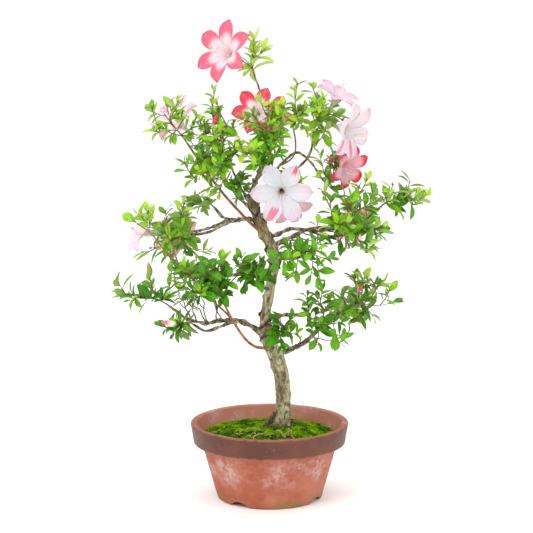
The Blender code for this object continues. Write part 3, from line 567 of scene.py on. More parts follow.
class Graph:
    """A node tree while it is drawn up, with short ways to place and join nodes."""

    def __init__(self, tree: bpy.types.NodeTree) -> None:
        """Starts on a tree.

        Args:
            tree: The tree to add to.
        """
        self.tree = tree

    def node(self, kind: str, values: Optional[dict] = None, **settings: object) -> bpy.types.Node:
        """Places a node.

        Args:
            kind: The node's type.
            values: What each input socket takes: a value, or an output to join.
            **settings: The node's own properties.

        Returns:
            The node.
        """
        made = self.tree.nodes.new(kind)
        made.location = (200 * len(self.tree.nodes), 0)
        for key, value in settings.items():
            setattr(made, key, value)
        for key, value in (values or {}).items():
            self.feed(made.inputs[key], value)
        return made

    def feed(self, socket: bpy.types.NodeSocket, value: object) -> None:
        """Joins an output to a socket, or sets the socket's value."""
        if isinstance(value, bpy.types.NodeSocket):
            self.tree.links.new(value, socket)
        else:
            socket.default_value = value

    def math(self, operation: str, *values: object) -> bpy.types.NodeSocket:
        """The output of a Math node on one to three values."""
        return self.node("ShaderNodeMath", dict(enumerate(values)), operation=operation).outputs[0]

    def times(self, *values: object) -> bpy.types.NodeSocket:
        """The product of two values or more."""
        return reduce(lambda one, other: self.math("MULTIPLY", one, other), values)

    def mix(self, share: object, low: object, high: object) -> bpy.types.NodeSocket:
        """A colour between two, by a share; a plain triple is read as screen values."""
        low, high = (rgb(side) if isinstance(side, tuple) and len(side) == 3 else side for side in (low, high))
        return self.node("ShaderNodeMix", {0: share, 6: low, 7: high}, data_type="RGBA").outputs[2]

    def span(self, value: object, low: float, high: float) -> bpy.types.NodeSocket:
        """A smooth step of a value between two limits."""
        inputs = {"Value": value, "From Min": low, "From Max": high}
        return self.node("ShaderNodeMapRange", inputs, interpolation_type="SMOOTHSTEP").outputs[0]

    def split(self, vector: object) -> list[bpy.types.NodeSocket]:
        """The three parts of a vector."""
        return list(self.node("ShaderNodeSeparateXYZ", {0: vector}).outputs)

    def place(self) -> bpy.types.NodeSocket:
        """The place on the object, in metres."""
        return self.node("ShaderNodeTexCoord").outputs["Object"]

    def pattern_place(self) -> bpy.types.NodeSocket:
        """The place on the piece's own pattern map."""
        return self.node("ShaderNodeTexCoord").outputs["UV"]

    def stretched(self, vector: object, scale: Triple) -> bpy.types.NodeSocket:
        """A vector scaled along each axis."""
        return self.node("ShaderNodeMapping", {"Vector": vector, "Scale": scale}).outputs[0]

    def effect(self, build: Callable[[], bpy.types.NodeTree], **values: object) -> bpy.types.NodeSocket:
        """The output of a shared effect, built on its first use, with its inputs given by name."""
        group = bpy.data.node_groups.get(build.__name__) or build()
        return self.node("ShaderNodeGroup", values, node_tree=group).outputs[0]

    def mottle(self, vector: object, scale: float, low: float, high: float) -> bpy.types.NodeSocket:
        """Soft patches of a noise, none below the low limit and full above the high one."""
        return self.effect(Effects.mottle, Vector=vector, Scale=scale, Low=low, High=high)

    def specks(self, vector: object, scale: float, size: float) -> bpy.types.NodeSocket:
        """Scattered dots of one size."""
        return self.effect(Effects.specks, Vector=vector, Scale=scale, Size=size)

    def grain(self, vector: object, coarse: float, fine: float, grit: float) -> bpy.types.NodeSocket:
        """A height of coarse lumps with a share of fine grit."""
        return self.effect(Effects.grain, Vector=vector, Coarse=coarse, Fine=fine, Grit=grit)

    def bump(self, height: object, distance: float, strength: float = 1.0) -> bpy.types.NodeSocket:
        """The normal that a height gives."""
        values = {"Height": height, "Distance": distance, "Strength": strength}
        return self.node("ShaderNodeBump", values).outputs[0]

    def dress(self, colour: object, **values: object) -> None:
        """Feeds the material's own shader.

        Args:
            colour: The base colour.
            **values: What other sockets take, with an underscore for each space of their names.
        """
        shader = self.tree.nodes["Principled BSDF"]
        self.feed(shader.inputs["Base Color"], colour)
        for key, value in values.items():
            self.feed(shader.inputs[key.replace("_", " ")], value)


class Effects:
    """The shader effects that several finishes share, each a node group that is built once."""

    @staticmethod
    def begin(name: str, inputs: dict[str, object], output: str) -> tuple[Graph, dict, Callable]:
        """Starts a group.

        Args:
            name: The group's name.
            inputs: Each input's first value, a number or a vector.
            output: The name of its one output.

        Returns:
            The graph, the inputs' sockets by name, and a function that takes the finished output.
        """
        tree = bpy.data.node_groups.new(name, "ShaderNodeTree")
        for key, value in inputs.items():
            kind = "NodeSocketFloat" if isinstance(value, float) else "NodeSocketVector"
            socket = tree.interface.new_socket(key, in_out="INPUT", socket_type=kind)
            socket.default_value = value
        tree.interface.new_socket(output, in_out="OUTPUT", socket_type="NodeSocketFloat")
        graph = Graph(tree)
        enter = graph.node("NodeGroupInput")
        leave = graph.node("NodeGroupOutput")
        return graph, {key: enter.outputs[key] for key in inputs}, lambda value: graph.feed(leave.inputs[0], value)

    @classmethod
    def mottle(cls) -> bpy.types.NodeTree:
        """Soft patches between two limits of a noise."""
        inputs = {"Vector": (0.0, 0.0, 0.0), "Scale": 100.0, "Low": 0.4, "High": 0.6}
        graph, given, finish = cls.begin("mottle", inputs, "Mask")
        values = {"Vector": given["Vector"], "Scale": given["Scale"], "Detail": 5.0, "Roughness": 0.62}
        cloud = graph.node("ShaderNodeTexNoise", values)
        finish(graph.span(cloud.outputs[0], given["Low"], given["High"]))
        return graph.tree

    @classmethod
    def specks(cls) -> bpy.types.NodeTree:
        """Scattered dots of one size."""
        inputs = {"Vector": (0.0, 0.0, 0.0), "Scale": 300.0, "Size": 0.2}
        graph, given, finish = cls.begin("specks", inputs, "Mask")
        cells = graph.node("ShaderNodeTexVoronoi", {"Vector": given["Vector"], "Scale": given["Scale"]})
        finish(graph.span(cells.outputs["Distance"], given["Size"], graph.times(given["Size"], 0.5)))
        return graph.tree

    @classmethod
    def grain(cls) -> bpy.types.NodeTree:
        """A height of coarse lumps and fine grit together."""
        inputs = {"Vector": (0.0, 0.0, 0.0), "Coarse": 200.0, "Fine": 1500.0, "Grit": 0.35}
        graph, given, finish = cls.begin("grain", inputs, "Height")
        heights = []
        for key in ("Coarse", "Fine"):
            values = {"Vector": given["Vector"], "Scale": given[key], "Detail": 3.0, "Roughness": 0.6}
            heights.append(graph.node("ShaderNodeTexNoise", values).outputs[0])
        finish(graph.math("MULTIPLY_ADD", heights[1], given["Grit"], heights[0]))
        return graph.tree

    @classmethod
    def veins(cls) -> bpy.types.NodeTree:
        """Side veins that run forward from a midrib: Across is 0 at the midrib, Along is 0 at the root."""
        graph, given, finish = cls.begin("veins", {"Across": 0.0, "Along": 0.0, "Count": 7.0}, "Mask")
        forward = graph.math("MULTIPLY_ADD", given["Across"], -0.28, given["Along"])
        wave = graph.math("PINGPONG", graph.times(forward, given["Count"]), 0.5)
        side = graph.span(wave, 0.10, 0.0)
        finish(graph.math("MAXIMUM", side, graph.span(given["Across"], 0.14, 0.02)))
        return graph.tree


@dataclass(frozen=True)
class Finish:
    """What every finish has: a name, and a material that is made once."""

    name: str

    def material(self) -> bpy.types.Material:
        """The finish's material."""
        found = bpy.data.materials.get(self.name)
        if found:
            return found
        made = bpy.data.materials.new(self.name)
        made.use_nodes = True
        self.paint(Graph(made.node_tree))
        return made

    def paint(self, graph: Graph) -> None:
        """Draws up the material's nodes."""
        raise NotImplementedError


@dataclass(frozen=True)
class ClayFinish(Finish):
    """Fired clay: mottled, with lime bloom at mid height and a green tinge at the foot."""

    body: Triple = (162, 84, 58)
    pale: Triple = (178, 108, 84)
    deep: Triple = (134, 64, 44)
    lime: Triple = (188, 164, 162)
    inner: Triple = (150, 90, 70)
    wall: Triple = (188, 122, 98)
    algae: Triple = (122, 118, 50)

    def paint(self, graph: Graph) -> None:
        """Draws up the material's nodes."""
        place = graph.place()
        height = graph.split(place)[2]
        cloud = graph.mottle(place, scale=26.0, low=0.36, high=0.66)
        colour = graph.mix(cloud, self.body, self.pale)
        blot = graph.mottle(place, scale=85.0, low=0.50, high=0.72)
        colour = graph.mix(graph.times(blot, 0.45), colour, self.deep)
        lime = graph.mottle(place, scale=33.0, low=0.47, high=0.68)
        fleck = graph.mottle(place, scale=210.0, low=0.32, high=0.62)
        belt = graph.times(graph.span(height, 0.018, 0.036), graph.span(height, 0.066, 0.048))
        inside = graph.span(height, 0.0635, 0.0655)
        colour = graph.mix(graph.times(inside, 0.7), colour, self.inner)
        behind = graph.times(inside, graph.span(graph.split(place)[1], -0.01, 0.06))
        colour = graph.mix(graph.times(behind, 0.8), colour, self.wall)
        belt = graph.math("MAXIMUM", belt, graph.times(inside, 0.72))
        share = graph.times(lime, belt, graph.times(fleck, 0.85))
        colour = graph.mix(share, colour, self.lime)
        foot = graph.mottle(place, scale=40.0, low=0.46, high=0.58)
        foot = graph.times(foot, graph.span(height, 0.013, 0.004), 0.85)
        colour = graph.mix(foot, colour, self.algae)
        dots = graph.specks(place, scale=420.0, size=0.16)
        colour = graph.mix(graph.times(dots, 0.35), colour, self.deep)
        grit = graph.grain(place, coarse=160.0, fine=1300.0, grit=0.35)
        turning = graph.math("SINE", graph.times(height, 3400.0))
        relief = graph.math("MULTIPLY_ADD", turning, 0.10, grit)
        rough = graph.math("MULTIPLY_ADD", share, 0.1, 0.82)
        graph.dress(colour, Roughness=rough, Normal=graph.bump(relief, 0.0006))


@dataclass(frozen=True)
class BandFinish(Finish):
    """The brown slip on the rim's band, worn thin at its edges and finely scratched."""

    slip: Triple = (82, 36, 15)
    light: Triple = (100, 50, 28)
    clay: Triple = (144, 82, 58)
    scratch: Triple = (168, 148, 146)

    def paint(self, graph: Graph) -> None:
        """Draws up the material's nodes."""
        place = graph.place()
        height = graph.split(place)[2]
        cloud = graph.mottle(place, scale=30.0, low=0.35, high=0.68)
        colour = graph.mix(cloud, self.slip, self.light)
        edges = graph.math("ADD", graph.span(height, 0.0850, 0.0868), graph.span(height, 0.0662, 0.0642))
        worn = graph.mottle(place, scale=120.0, low=0.38, high=0.56)
        colour = graph.mix(graph.times(edges, worn), colour, self.clay)
        drawn = graph.stretched(place, (1.0, 1.0, 3.4))
        lines = graph.mottle(drawn, scale=300.0, low=0.62, high=0.74)
        where = graph.mottle(place, scale=22.0, low=0.50, high=0.66)
        marks = graph.times(lines, where, 0.75)
        colour = graph.mix(marks, colour, self.scratch)
        grit = graph.grain(place, coarse=210.0, fine=1500.0, grit=0.25)
        graph.dress(colour, Roughness=0.5, Normal=graph.bump(grit, 0.0004))


@dataclass(frozen=True)
class GroundFinish(Finish):
    """Dark damp soil with a green film, seen between the tufts of moss."""

    soil: Triple = (42, 34, 14)
    film: Triple = (60, 96, 4)
    crumb: Triple = (120, 92, 62)

    def paint(self, graph: Graph) -> None:
        """Draws up the material's nodes."""
        place = graph.place()
        green = graph.mottle(place, scale=130.0, low=0.40, high=0.60)
        colour = graph.mix(green, self.soil, self.film)
        dots = graph.specks(place, scale=700.0, size=0.2)
        colour = graph.mix(graph.times(dots, 0.5), colour, self.crumb)
        grit = graph.grain(place, coarse=400.0, fine=2200.0, grit=0.4)
        graph.dress(colour, Roughness=1.0, Specular_IOR_Level=0.1, Normal=graph.bump(grit, 0.0009))


@dataclass(frozen=True)
class MossFinish(Finish):
    """The short green tufts of moss."""

    green: Triple = (104, 178, 14)

    def paint(self, graph: Graph) -> None:
        """Draws up the material's nodes."""
        place = graph.place()
        cloud = graph.mottle(place, scale=110.0, low=0.35, high=0.65)
        colour = graph.mix(cloud, rgb(self.green, 0.55), self.green)
        graph.dress(colour, Roughness=1.0, Specular_IOR_Level=0.05)


@dataclass(frozen=True)
class BarkFinish(Finish):
    """Bark: pale and dark patches along the limb, dark cracks, painted shade in the hollows of its relief, and specks
    of lichen.

    Attributes:
        pale: The colour of the pale patches.
        body: The colour between them.
        crack: The colour in cracks, and of the painted shade in grooves.
        moss: The colour of the green film.
        cracked: How strongly the cracks show.
        grooved: How strongly the hollows of the relief are darkened.
        green: How strongly the green film shows.
        fine: How small the pattern is beside that of the trunk.
        rust: The colour of the warm patches where bark has flaked.
        rusted: How strongly those show.
        dark_foot: How strongly the hollows just above the moss are darkened.
        dark_top: How strongly the highest part is darkened.
    """

    pale: Triple = (198, 192, 152)
    body: Triple = (140, 130, 98)
    crack: Triple = (62, 44, 32)
    moss: Triple = (118, 126, 70)
    rust: Triple = (138, 88, 54)
    cracked: float = 0.85
    grooved: float = 0.8
    green: float = 0.35
    fine: float = 1.0
    rusted: float = 0.0
    dark_foot: float = 0.0
    dark_top: float = 0.0

    def paint(self, graph: Graph) -> None:
        """Draws up the material's nodes."""
        place = graph.place()
        drawn = graph.stretched(place, (1.0, 1.0, 0.5))
        cloud = graph.mottle(drawn, scale=130.0 * self.fine, low=0.40, high=0.60)
        colour = graph.mix(cloud, self.body, self.pale)
        film = graph.mottle(place, scale=60.0, low=0.45, high=0.66)
        colour = graph.mix(graph.times(film, self.green), colour, self.moss)
        if self.rusted:
            flaked = graph.mottle(drawn, scale=160.0, low=0.52, high=0.62)
            colour = graph.mix(graph.times(flaked, self.rusted), colour, self.rust)
        lichen = graph.specks(place, scale=380.0 * self.fine, size=0.22)
        colour = graph.mix(graph.times(lichen, 0.55), colour, self.pale)
        crack = graph.mottle(drawn, scale=360.0 * self.fine, low=0.52, high=0.64)
        where = graph.mottle(place, scale=70.0, low=0.30, high=0.56)
        share = graph.times(crack, where, self.cracked)
        # Painted shade: the hollows of the relief, whose depth the pattern's first part carries, are darkened towards
        # the crack colour.
        groove = graph.span(graph.split(graph.pattern_place())[0], 0.46, 0.12)
        share = graph.math("MAXIMUM", share, graph.times(groove, self.grooved))
        if self.dark_top:
            high = graph.span(graph.split(place)[2], 0.27, 0.33)
            colour = graph.mix(graph.times(high, self.dark_top), colour, self.rust)
            share = graph.math("MAXIMUM", share, graph.times(high, 0.25))
        # Painted shade: patches just above the moss, where the trunk meets it, are darkened towards the crack colour.
        if self.dark_foot:
            low = graph.span(graph.split(place)[2], 0.092, 0.081)
            hollow = graph.mottle(place, scale=190.0, low=0.40, high=0.55)
            share = graph.math("MAXIMUM", share, graph.times(low, hollow, self.dark_foot))
        colour = graph.mix(share, colour, self.crack)
        grit = graph.grain(drawn, coarse=500.0 * self.fine, fine=2600.0, grit=0.4)
        relief = graph.math("SUBTRACT", grit, share)
        graph.dress(colour, Roughness=0.86, Normal=graph.bump(relief, 0.0006))


@dataclass(frozen=True)
class LeafFinish(Finish):
    """A leaf: satin above with a pale midrib and side veins, paler and duller beneath."""

    green: Triple = (70, 152, 30)
    rib: Triple = (150, 200, 70)
    under: Triple = (140, 176, 96)
    gloss: float = 0.40
    sheen: float = 0.22

    def paint(self, graph: Graph) -> None:
        """Draws up the material's nodes."""
        across, along, _ = graph.split(graph.pattern_place())
        beneath = graph.math("GREATER_THAN", across, 1.0)
        off_middle = graph.math("SUBTRACT", graph.math("FRACT", across), 0.5)
        off_rib = graph.times(graph.math("ABSOLUTE", off_middle), 2.0)
        cloud = graph.mottle(graph.place(), scale=70.0, low=0.30, high=0.70)
        colour = graph.mix(cloud, rgb(self.green, 0.62), self.green)
        veins = graph.effect(Effects.veins, Across=off_rib, Along=along, Count=7.0)
        colour = graph.mix(graph.times(veins, 0.45), colour, self.rib)
        colour = graph.mix(graph.times(beneath, 0.75), colour, self.under)
        rough = graph.math("MULTIPLY_ADD", beneath, 0.25, self.gloss)
        relief = graph.times(veins, -1.0)
        graph.dress(colour, Roughness=rough, Specular_IOR_Level=self.sheen, Normal=graph.bump(relief, 0.00025))


@dataclass(frozen=True)
class PetalFinish(Finish):
    """A petal: throat, body and edge colours that run into each other along fine veins.

    Attributes:
        throat: The colour deep in the funnel.
        body: The colour of the middle.
        edge: The colour of the lobe.
        turn: Where the body turns into the edge colour, from 0 at the throat to 1 at the tip.
        spread: How long that turn takes.
        stripe: The colour of a sector along the lobe.
        sector: The share across the lobe where the sector starts and ends.
        sector_from: How far along the lobe the sector starts.
    """

    throat: Triple = (214, 226, 176)
    body: Triple = (255, 244, 246)
    edge: Triple = (244, 122, 150)
    turn: float = 0.52
    spread: float = 0.22
    stripe: Triple = (236, 84, 100)
    sector: tuple[float, float] = (2.0, 3.0)
    sector_from: float = 0.4

    def paint(self, graph: Graph) -> None:
        """Draws up the material's nodes."""
        across, along, _ = graph.split(graph.pattern_place())
        streaks = graph.node("ShaderNodeCombineXYZ", {0: graph.times(across, 13.0), 1: along})
        feather = graph.node("ShaderNodeTexNoise", {"Vector": streaks.outputs[0], "Scale": 1.6, "Detail": 3.0})
        ragged = graph.math("MULTIPLY_ADD", feather.outputs[0], 0.34, graph.math("SUBTRACT", along, 0.17))
        off_middle = graph.math("ABSOLUTE", graph.math("MULTIPLY_ADD", across, 2.0, -1.0))
        ragged = graph.math("MULTIPLY_ADD", graph.times(off_middle, off_middle), 0.12, ragged)
        share = graph.span(ragged, self.turn - self.spread / 2, self.turn + self.spread / 2)
        colour = graph.mix(share, self.body, self.edge)
        first, last = self.sector
        inner = graph.times(
            graph.span(across, first, first + 0.05), graph.span(across, last, last - 0.05),
            graph.span(ragged, self.sector_from, self.sector_from + 0.12),
        )
        colour = graph.mix(inner, colour, self.stripe)
        deep = graph.span(along, 0.26, 0.06)
        colour = graph.mix(deep, colour, self.throat)
        veins = graph.effect(Effects.veins, Across=off_middle, Along=along, Count=5.0)
        flush = graph.times(graph.span(feather.outputs[0], 0.50, 0.72), 0.35)
        colour = graph.mix(graph.times(flush, share), colour, self.body)
        colour = graph.mix(graph.times(veins, 0.14), colour, rgb(self.edge, 0.72))
        crinkle = graph.node("ShaderNodeTexNoise", {"Vector": streaks.outputs[0], "Scale": 4.0, "Detail": 2.0})
        relief = graph.math("MULTIPLY_ADD", veins, -0.6, crinkle.outputs[0])
        graph.dress(colour, Roughness=0.6, Specular_IOR_Level=0.15, Subsurface_Weight=0.6, Subsurface_Scale=0.004,
                    Normal=graph.bump(relief, 0.0003))


@dataclass(frozen=True)
class TwoToneFinish(Finish):
    """A small part that turns from one colour at its foot to another at its tip, softly mottled."""

    foot: Triple = (120, 150, 60)
    tip: Triple = (170, 90, 60)
    turn: float = 0.5
    dull: float = 0.6

    def paint(self, graph: Graph) -> None:
        """Draws up the material's nodes."""
        along = graph.split(graph.pattern_place())[1]
        cloud = graph.mottle(graph.place(), scale=500.0, low=0.2, high=0.8)
        ragged = graph.math("MULTIPLY_ADD", cloud, 0.2, along)
        colour = graph.mix(graph.span(ragged, self.turn - 0.1, self.turn + 0.3), self.foot, self.tip)
        grit = graph.grain(graph.place(), coarse=900.0, fine=3000.0, grit=0.3)
        graph.dress(colour, Roughness=self.dull, Normal=graph.bump(grit, 0.0001))


# ================================================================ limbs and the rule that foliage grows by


# A relief gives the height to add at a point and a painted shade there, from 0 in a groove.
Relief = Callable[[Vector, Vector, int], tuple[float, float]]


class Limb(NamedTuple):
    """A limb's line and its radius at each point."""

    points: list[Vector]
    radii: list[float]

    def at(self, share: float) -> tuple[Vector, Vector, float]:
        """The point, direction and radius at a share of the way along."""
        place = share * (len(self.points) - 1)
        k = min(int(place), len(self.points) - 2)
        t = place - k
        first, second = self.points[k], self.points[k + 1]
        return first.lerp(second, t), (second - first).normalized(), self.radii[k] * (1 - t) + self.radii[k + 1] * t


class Twig(NamedTuple):
    """A twig's line and radii, and the bloom at its end if it has one."""

    points: list[Vector]
    radii: list[float]
    bloom: Optional[Bloom]


class Shoot(NamedTuple):
    """The end of a twig or side shoot, where leaves stand: its line from foot to tip, and how many it bears."""

    line: np.ndarray
    leaves: int

    @property
    def tip(self) -> Vector:
        """The end of the shoot."""
        return Vector(self.line[-1])

    def back(self, run: float) -> tuple[Vector, Vector]:
        """The point a run back from the tip, and the way the shoot grows there."""
        steps = np.linalg.norm(np.diff(self.line, axis=0), axis=1)
        left = run
        for k in range(len(steps) - 1, -1, -1):
            way = Vector(self.line[k + 1] - self.line[k]).normalized()
            if left <= steps[k] or k == 0:
                return Vector(self.line[k + 1]) - way * min(left, steps[k]), way
            left -= steps[k]
        return self.tip, Vector((0, 0, 1))


@dataclass
class Room:
    """Who owns each place in the crown, and where the blooms keep it clear."""

    margin: float = 0.035
    limit: float = 1.16
    bloom_radius: float = 35.0 * MM
    bloom_depth: float = 29.0 * MM
    eye: Triple = EYE

    def __post_init__(self) -> None:
        """Reads the plan into arrays."""
        self.index = {space.name: k for k, space in enumerate(SPACES)}
        self.centres = np.array([space.centre for space in SPACES]) * MM
        self.radii = np.array([space.radii for space in SPACES]) * MM
        self.throats = np.array([bloom.throat for bloom in BLOOMS]) * MM
        facings = np.array([bloom.facing for bloom in BLOOMS])
        self.facings = facings / np.linalg.norm(facings, axis=1)[:, None]
        self.sizes = np.array([bloom.size for bloom in BLOOMS])

    def share(self, point: Vector, space: Space) -> float:
        """How far out a point is in a space: 0 at the centre, 1 at its skin."""
        k = self.index[space.name]
        return float(np.linalg.norm((np.array(point) - self.centres[k]) / self.radii[k]))

    def owned(self, point: Vector, space: Space) -> bool:
        """Whether a point belongs to this space and to no other."""
        shares = np.linalg.norm((np.array(point) - self.centres) / self.radii, axis=1)
        k = self.index[space.name]
        own, shares[k] = shares[k], np.inf
        return bool(own <= self.limit and own + self.margin < shares.min())

    def clear_of_blooms(self, point: Vector, extra: float = 4.0 * MM) -> bool:
        """Whether a point is outside every bloom's funnel and the room in front of it."""
        away = np.array(point) - self.throats
        ahead = np.sum(away * self.facings, axis=1)
        deep = ahead / (self.bloom_depth * self.sizes)
        aside = np.linalg.norm(away - self.facings * ahead[:, None], axis=1)
        wide = self.bloom_radius * self.sizes * np.clip(deep, 0.0, 1.0) ** 1.5 + extra
        return not bool(np.any((deep > 0.0) & (deep < 1.4) & (aside < wide)))

    def free(self, points: Sequence[Vector], space: Space, leaning: bool = False) -> bool:
        """Whether every point may be grown into.

        Args:
            points: The points.
            space: The mass's space.
            leaning: Whether this is a spray that leans out past its neighbours.

        Returns:
            Whether they are all free.
        """
        return all((leaning or self.owned(point, space)) and self.clear_of_blooms(point) for point in points)

    def in_sky(self, point: Vector) -> bool:
        """Whether a point would close one of the open places, seen from in front."""
        nearer = self.eye[1] / (self.eye[1] - point.y)
        across = self.eye[0] + (point.x - self.eye[0]) * nearer
        height = self.eye[2] + (point.z - self.eye[2]) * nearer
        return any(math.hypot(across - x * MM, height - z * MM) < radius * MM for x, z, radius in SKY)


@dataclass
class Skeleton:
    """Where every limb and twig runs, by the rule that the solids grow by."""

    room: Room
    bough_span: float = 15.0 * MM
    stem_radius: float = 1.5 * MM
    tip_radius: float = 0.9 * MM
    short_twig: float = 26.0 * MM
    tip_inset: float = 16.0
    candidates: int = 16
    finer_share: float = 0.35
    finer_gap: float = 14.0 * MM
    bloom_neck: float = 7.0 * MM

    def __post_init__(self) -> None:
        """Lays out the limbs, each from the one that it leaves."""
        spaces = {space.name: space for space in SPACES}
        points = [vec_mm(station[:3]) for station in TRUNK_STATIONS_MM]
        self.limbs = {"trunk": Limb(points, [station[3] * MM for station in TRUNK_STATIONS_MM])}
        self.carriers: dict[str, Limb] = {}
        for bough in BOUGHS:
            self.limbs[bough.name] = self.bough_limb(bough, spaces[bough.mass])
            self.carriers[bough.mass] = self.limbs[bough.name]

    def bough_limb(self, bough: Bough, space: Space) -> Limb:
        """A bough's line from its parent's axis into its mass, with its taper."""
        start, _, _ = self.limbs[bough.parent].at(bough.at)
        centre = vec_mm(space.centre)
        end = centre + (start - centre) * bough.enter / self.room.share(start, space)
        count = max(5, round((end - start).length / self.bough_span))
        foot = bough.radius * MM
        tip = max(self.stem_radius * 0.95, foot * 0.5)
        points, radii = [], []
        for k in range(count + 1):
            t = k / count
            bow = vec_mm(bough.bow) * math.sin(math.pi * t)
            swing = vec_mm(bough.swing) * math.sin(math.tau * t)
            points.append(start.lerp(end, t) + bow + swing)
            radii.append(foot + (tip - foot) * t**0.8)
        return Limb(points, radii)

    def spread_tips(self, space: Space, rng: random.Random) -> list[Vector]:
        """The twigs' tips: points spread evenly through a space, inside its skin."""
        inner = [max(radius - self.tip_inset, 6.0) * MM for radius in space.radii]
        tips = [vec_mm(space.centre)]

        def draw() -> Vector:
            """A place in the mass, drawn at random."""
            way = any_way(rng, 0.2).normalized()
            return tips[0] + Vector(way[k] * inner[k] for k in range(3)) * rng.uniform(0.65, 1.0)

        for _ in range(space.shoots):
            best = self.emptiest(space, tips, draw, self.candidates, -1.0)
            if best:
                tips.append(best)
        return tips[1:]

    def emptiest(
        self, space: Space, tips: list[Vector], draw: Callable[[], Vector], tries: int, least: float
    ) -> Optional[Vector]:
        """The free place farthest from every tip, out of some drawn at random.

        Args:
            space: The mass's space.
            tips: The tips that it has.
            draw: Draws a place.
            tries: How many are drawn.
            least: How far from every tip the place has to be.

        Returns:
            The place, or None if no place drawn will do.
        """
        best, best_gap = None, least
        for _ in range(tries):
            point = draw()
            gap = min((point - other).length for other in tips)
            if gap > best_gap and self.room.free([point], space):
                best, best_gap = point, gap
        return best

    @staticmethod
    def joint_for(tip: Vector, joints: list) -> tuple:
        """The joint that a new twig leaves from: near, and not doubling back."""

        def cost(joint: tuple) -> float:
            """How poor a joint is: far from the tip, or turned away from it."""
            way = tip - joint[0]
            return way.length * (1.6 - 0.6 * joint[1].dot(way) / max(way.length, 1e-9))

        return min(joints, key=cost)

    @staticmethod
    def joints_along(twig: Twig) -> list:
        """The joints that later twigs may leave from."""
        points = twig.points
        inner = range(1, len(points) - 1)
        return [(points[k], (points[k + 1] - points[k - 1]).normalized(), twig.radii[k]) for k in inner]

    @staticmethod
    def arc(first: Vector, control: Vector, last: Vector, count: int) -> list[Vector]:
        """Points on a quadratic curve."""
        shares = [k / count for k in range(count + 1)]
        return [first * (1 - t) ** 2 + control * 2 * t * (1 - t) + last * t * t for t in shares]

    def twig_between(self, joint: tuple, control: Vector, tip: Vector, bloom: Optional[Bloom] = None) -> Twig:
        """A twig from a joint to its tip: straight where it is short."""
        count = 1 if (tip - joint[0]).length < self.short_twig else 2
        foot = max(self.tip_radius, joint[2] * 0.8)
        points = self.arc(joint[0], control, tip, count)
        return Twig(points, [foot + (self.tip_radius - foot) * k / count for k in range(count + 1)], bloom)

    def stem_of(self, space: Space, root: Vector, heading: Vector) -> Twig:
        """A mass's stem, from its bough's tip to the middle of its space."""
        centre = vec_mm(space.centre)
        straight = root + heading * 4 * MM
        bend = straight + heading * (centre - straight).length * 0.4
        points = [root, *self.arc(straight, bend, centre, 3)]
        taper = (self.tip_radius - self.stem_radius) / (len(points) - 1)
        return Twig(points, [self.stem_radius + taper * k for k in range(len(points))], None)

    def twig_to_bloom(self, bloom: Bloom, joints: list) -> Twig:
        """The twig that ends in a bloom's throat."""
        throat = vec_mm(bloom.throat)
        facing = Vector(bloom.facing).normalized()
        neck = throat - facing * self.bloom_neck
        joint = self.joint_for(neck, joints)
        control = neck - facing * (neck - joint[0]).length * 0.4
        twig = self.twig_between(joint, control, neck, bloom)
        return Twig([*twig.points, throat + facing * 2 * MM], [*twig.radii, self.tip_radius], bloom)

    def grow(self, space: Space, rng: random.Random) -> Iterator[Twig]:
        """The twigs of one mass: its stem, a twig to each bloom, and a twig to each tip."""
        tip, heading, _ = self.carriers[space.name].at(1.0)
        root = tip + heading * GAP
        stem = self.stem_of(space, root, heading)
        yield stem
        joints = self.joints_along(stem)[1:]
        for bloom in BLOOMS:
            if bloom.mass == space.name:
                yield self.twig_to_bloom(bloom, joints)
        for tip in sorted(self.spread_tips(space, rng), key=lambda point: (point - root).length):
            joint = self.joint_for(tip, joints)
            apart = (tip - joint[0]).length
            control = joint[0] + joint[1] * apart * 0.35 + Vector((0, 0, apart * 0.12))
            twig = self.twig_between(joint, control, tip)
            if self.room.free(twig.points[1:], space):
                joints += self.joints_along(twig)
                yield twig

    def all_joints(self) -> list[Vector]:
        """The places along every mass's main twigs, and one at the end of each."""
        joints = []
        for seed, space in enumerate(SPACES):
            for twig in self.grow(space, random.Random(seed)):
                joints += [joint[0] for joint in self.joints_along(twig)]
                joints.append(twig.points[0 if twig.bloom else -1])
        return joints

    def upturned(self, tip: Vector, joints: list) -> Twig:
        """A finer twig to a tip from the nearest joint, turned up at its end."""
        joint = self.joint_for(tip, joints)
        span = tip - joint[0]
        control = joint[0] + span * 0.6 - Vector((0, 0, span.length * 0.16))
        return Twig(self.arc(joint[0], control, tip, 3), [self.tip_radius * k for k in (1.0, 0.9, 0.8, 0.7)], None)

    def finer(self, space: Space, grown: Sequence[Twig], rng: random.Random) -> Iterator[Twig]:
        """Finer twigs towards the emptiest places of a mass, each turned up at its end.

        Args:
            space: The mass's space.
            grown: The twigs that it has.
            rng: The mass's own chance.

        Yields:
            Each finer twig.
        """
        joints = [
            Limb(twig.points, twig.radii).at(share) for twig in grown if not twig.bloom for share in (0.35, 0.6, 0.85)
        ]
        tips = [twig.points[-1] for twig in grown]
        centre = vec_mm(space.centre)

        def draw() -> Vector:
            """A place in the mass, drawn at random."""
            way = any_way(rng).normalized()
            return centre + Vector(way[k] * space.radii[k] for k in range(3)) * (rng.uniform(0.45, 0.92) * MM)

        for spray in SPRAYS.get(space.name, ()):
            yield self.upturned(vec_mm(spray), joints)
            tips.append(vec_mm(spray))
        for _ in range(round(space.shoots * self.finer_share * HABITS.get(space.name, Habit()).finer)):
            best = self.emptiest(space, tips, draw, self.candidates * 2, self.finer_gap)
            if best is None:
                return
            twig = self.upturned(best, joints)
            tips.append(best)
            if self.room.free(twig.points[1:], space):
                joints.append(Limb(twig.points, twig.radii).at(0.5))
                yield twig


# ================================================================ tubes: trunk, boughs and twigs


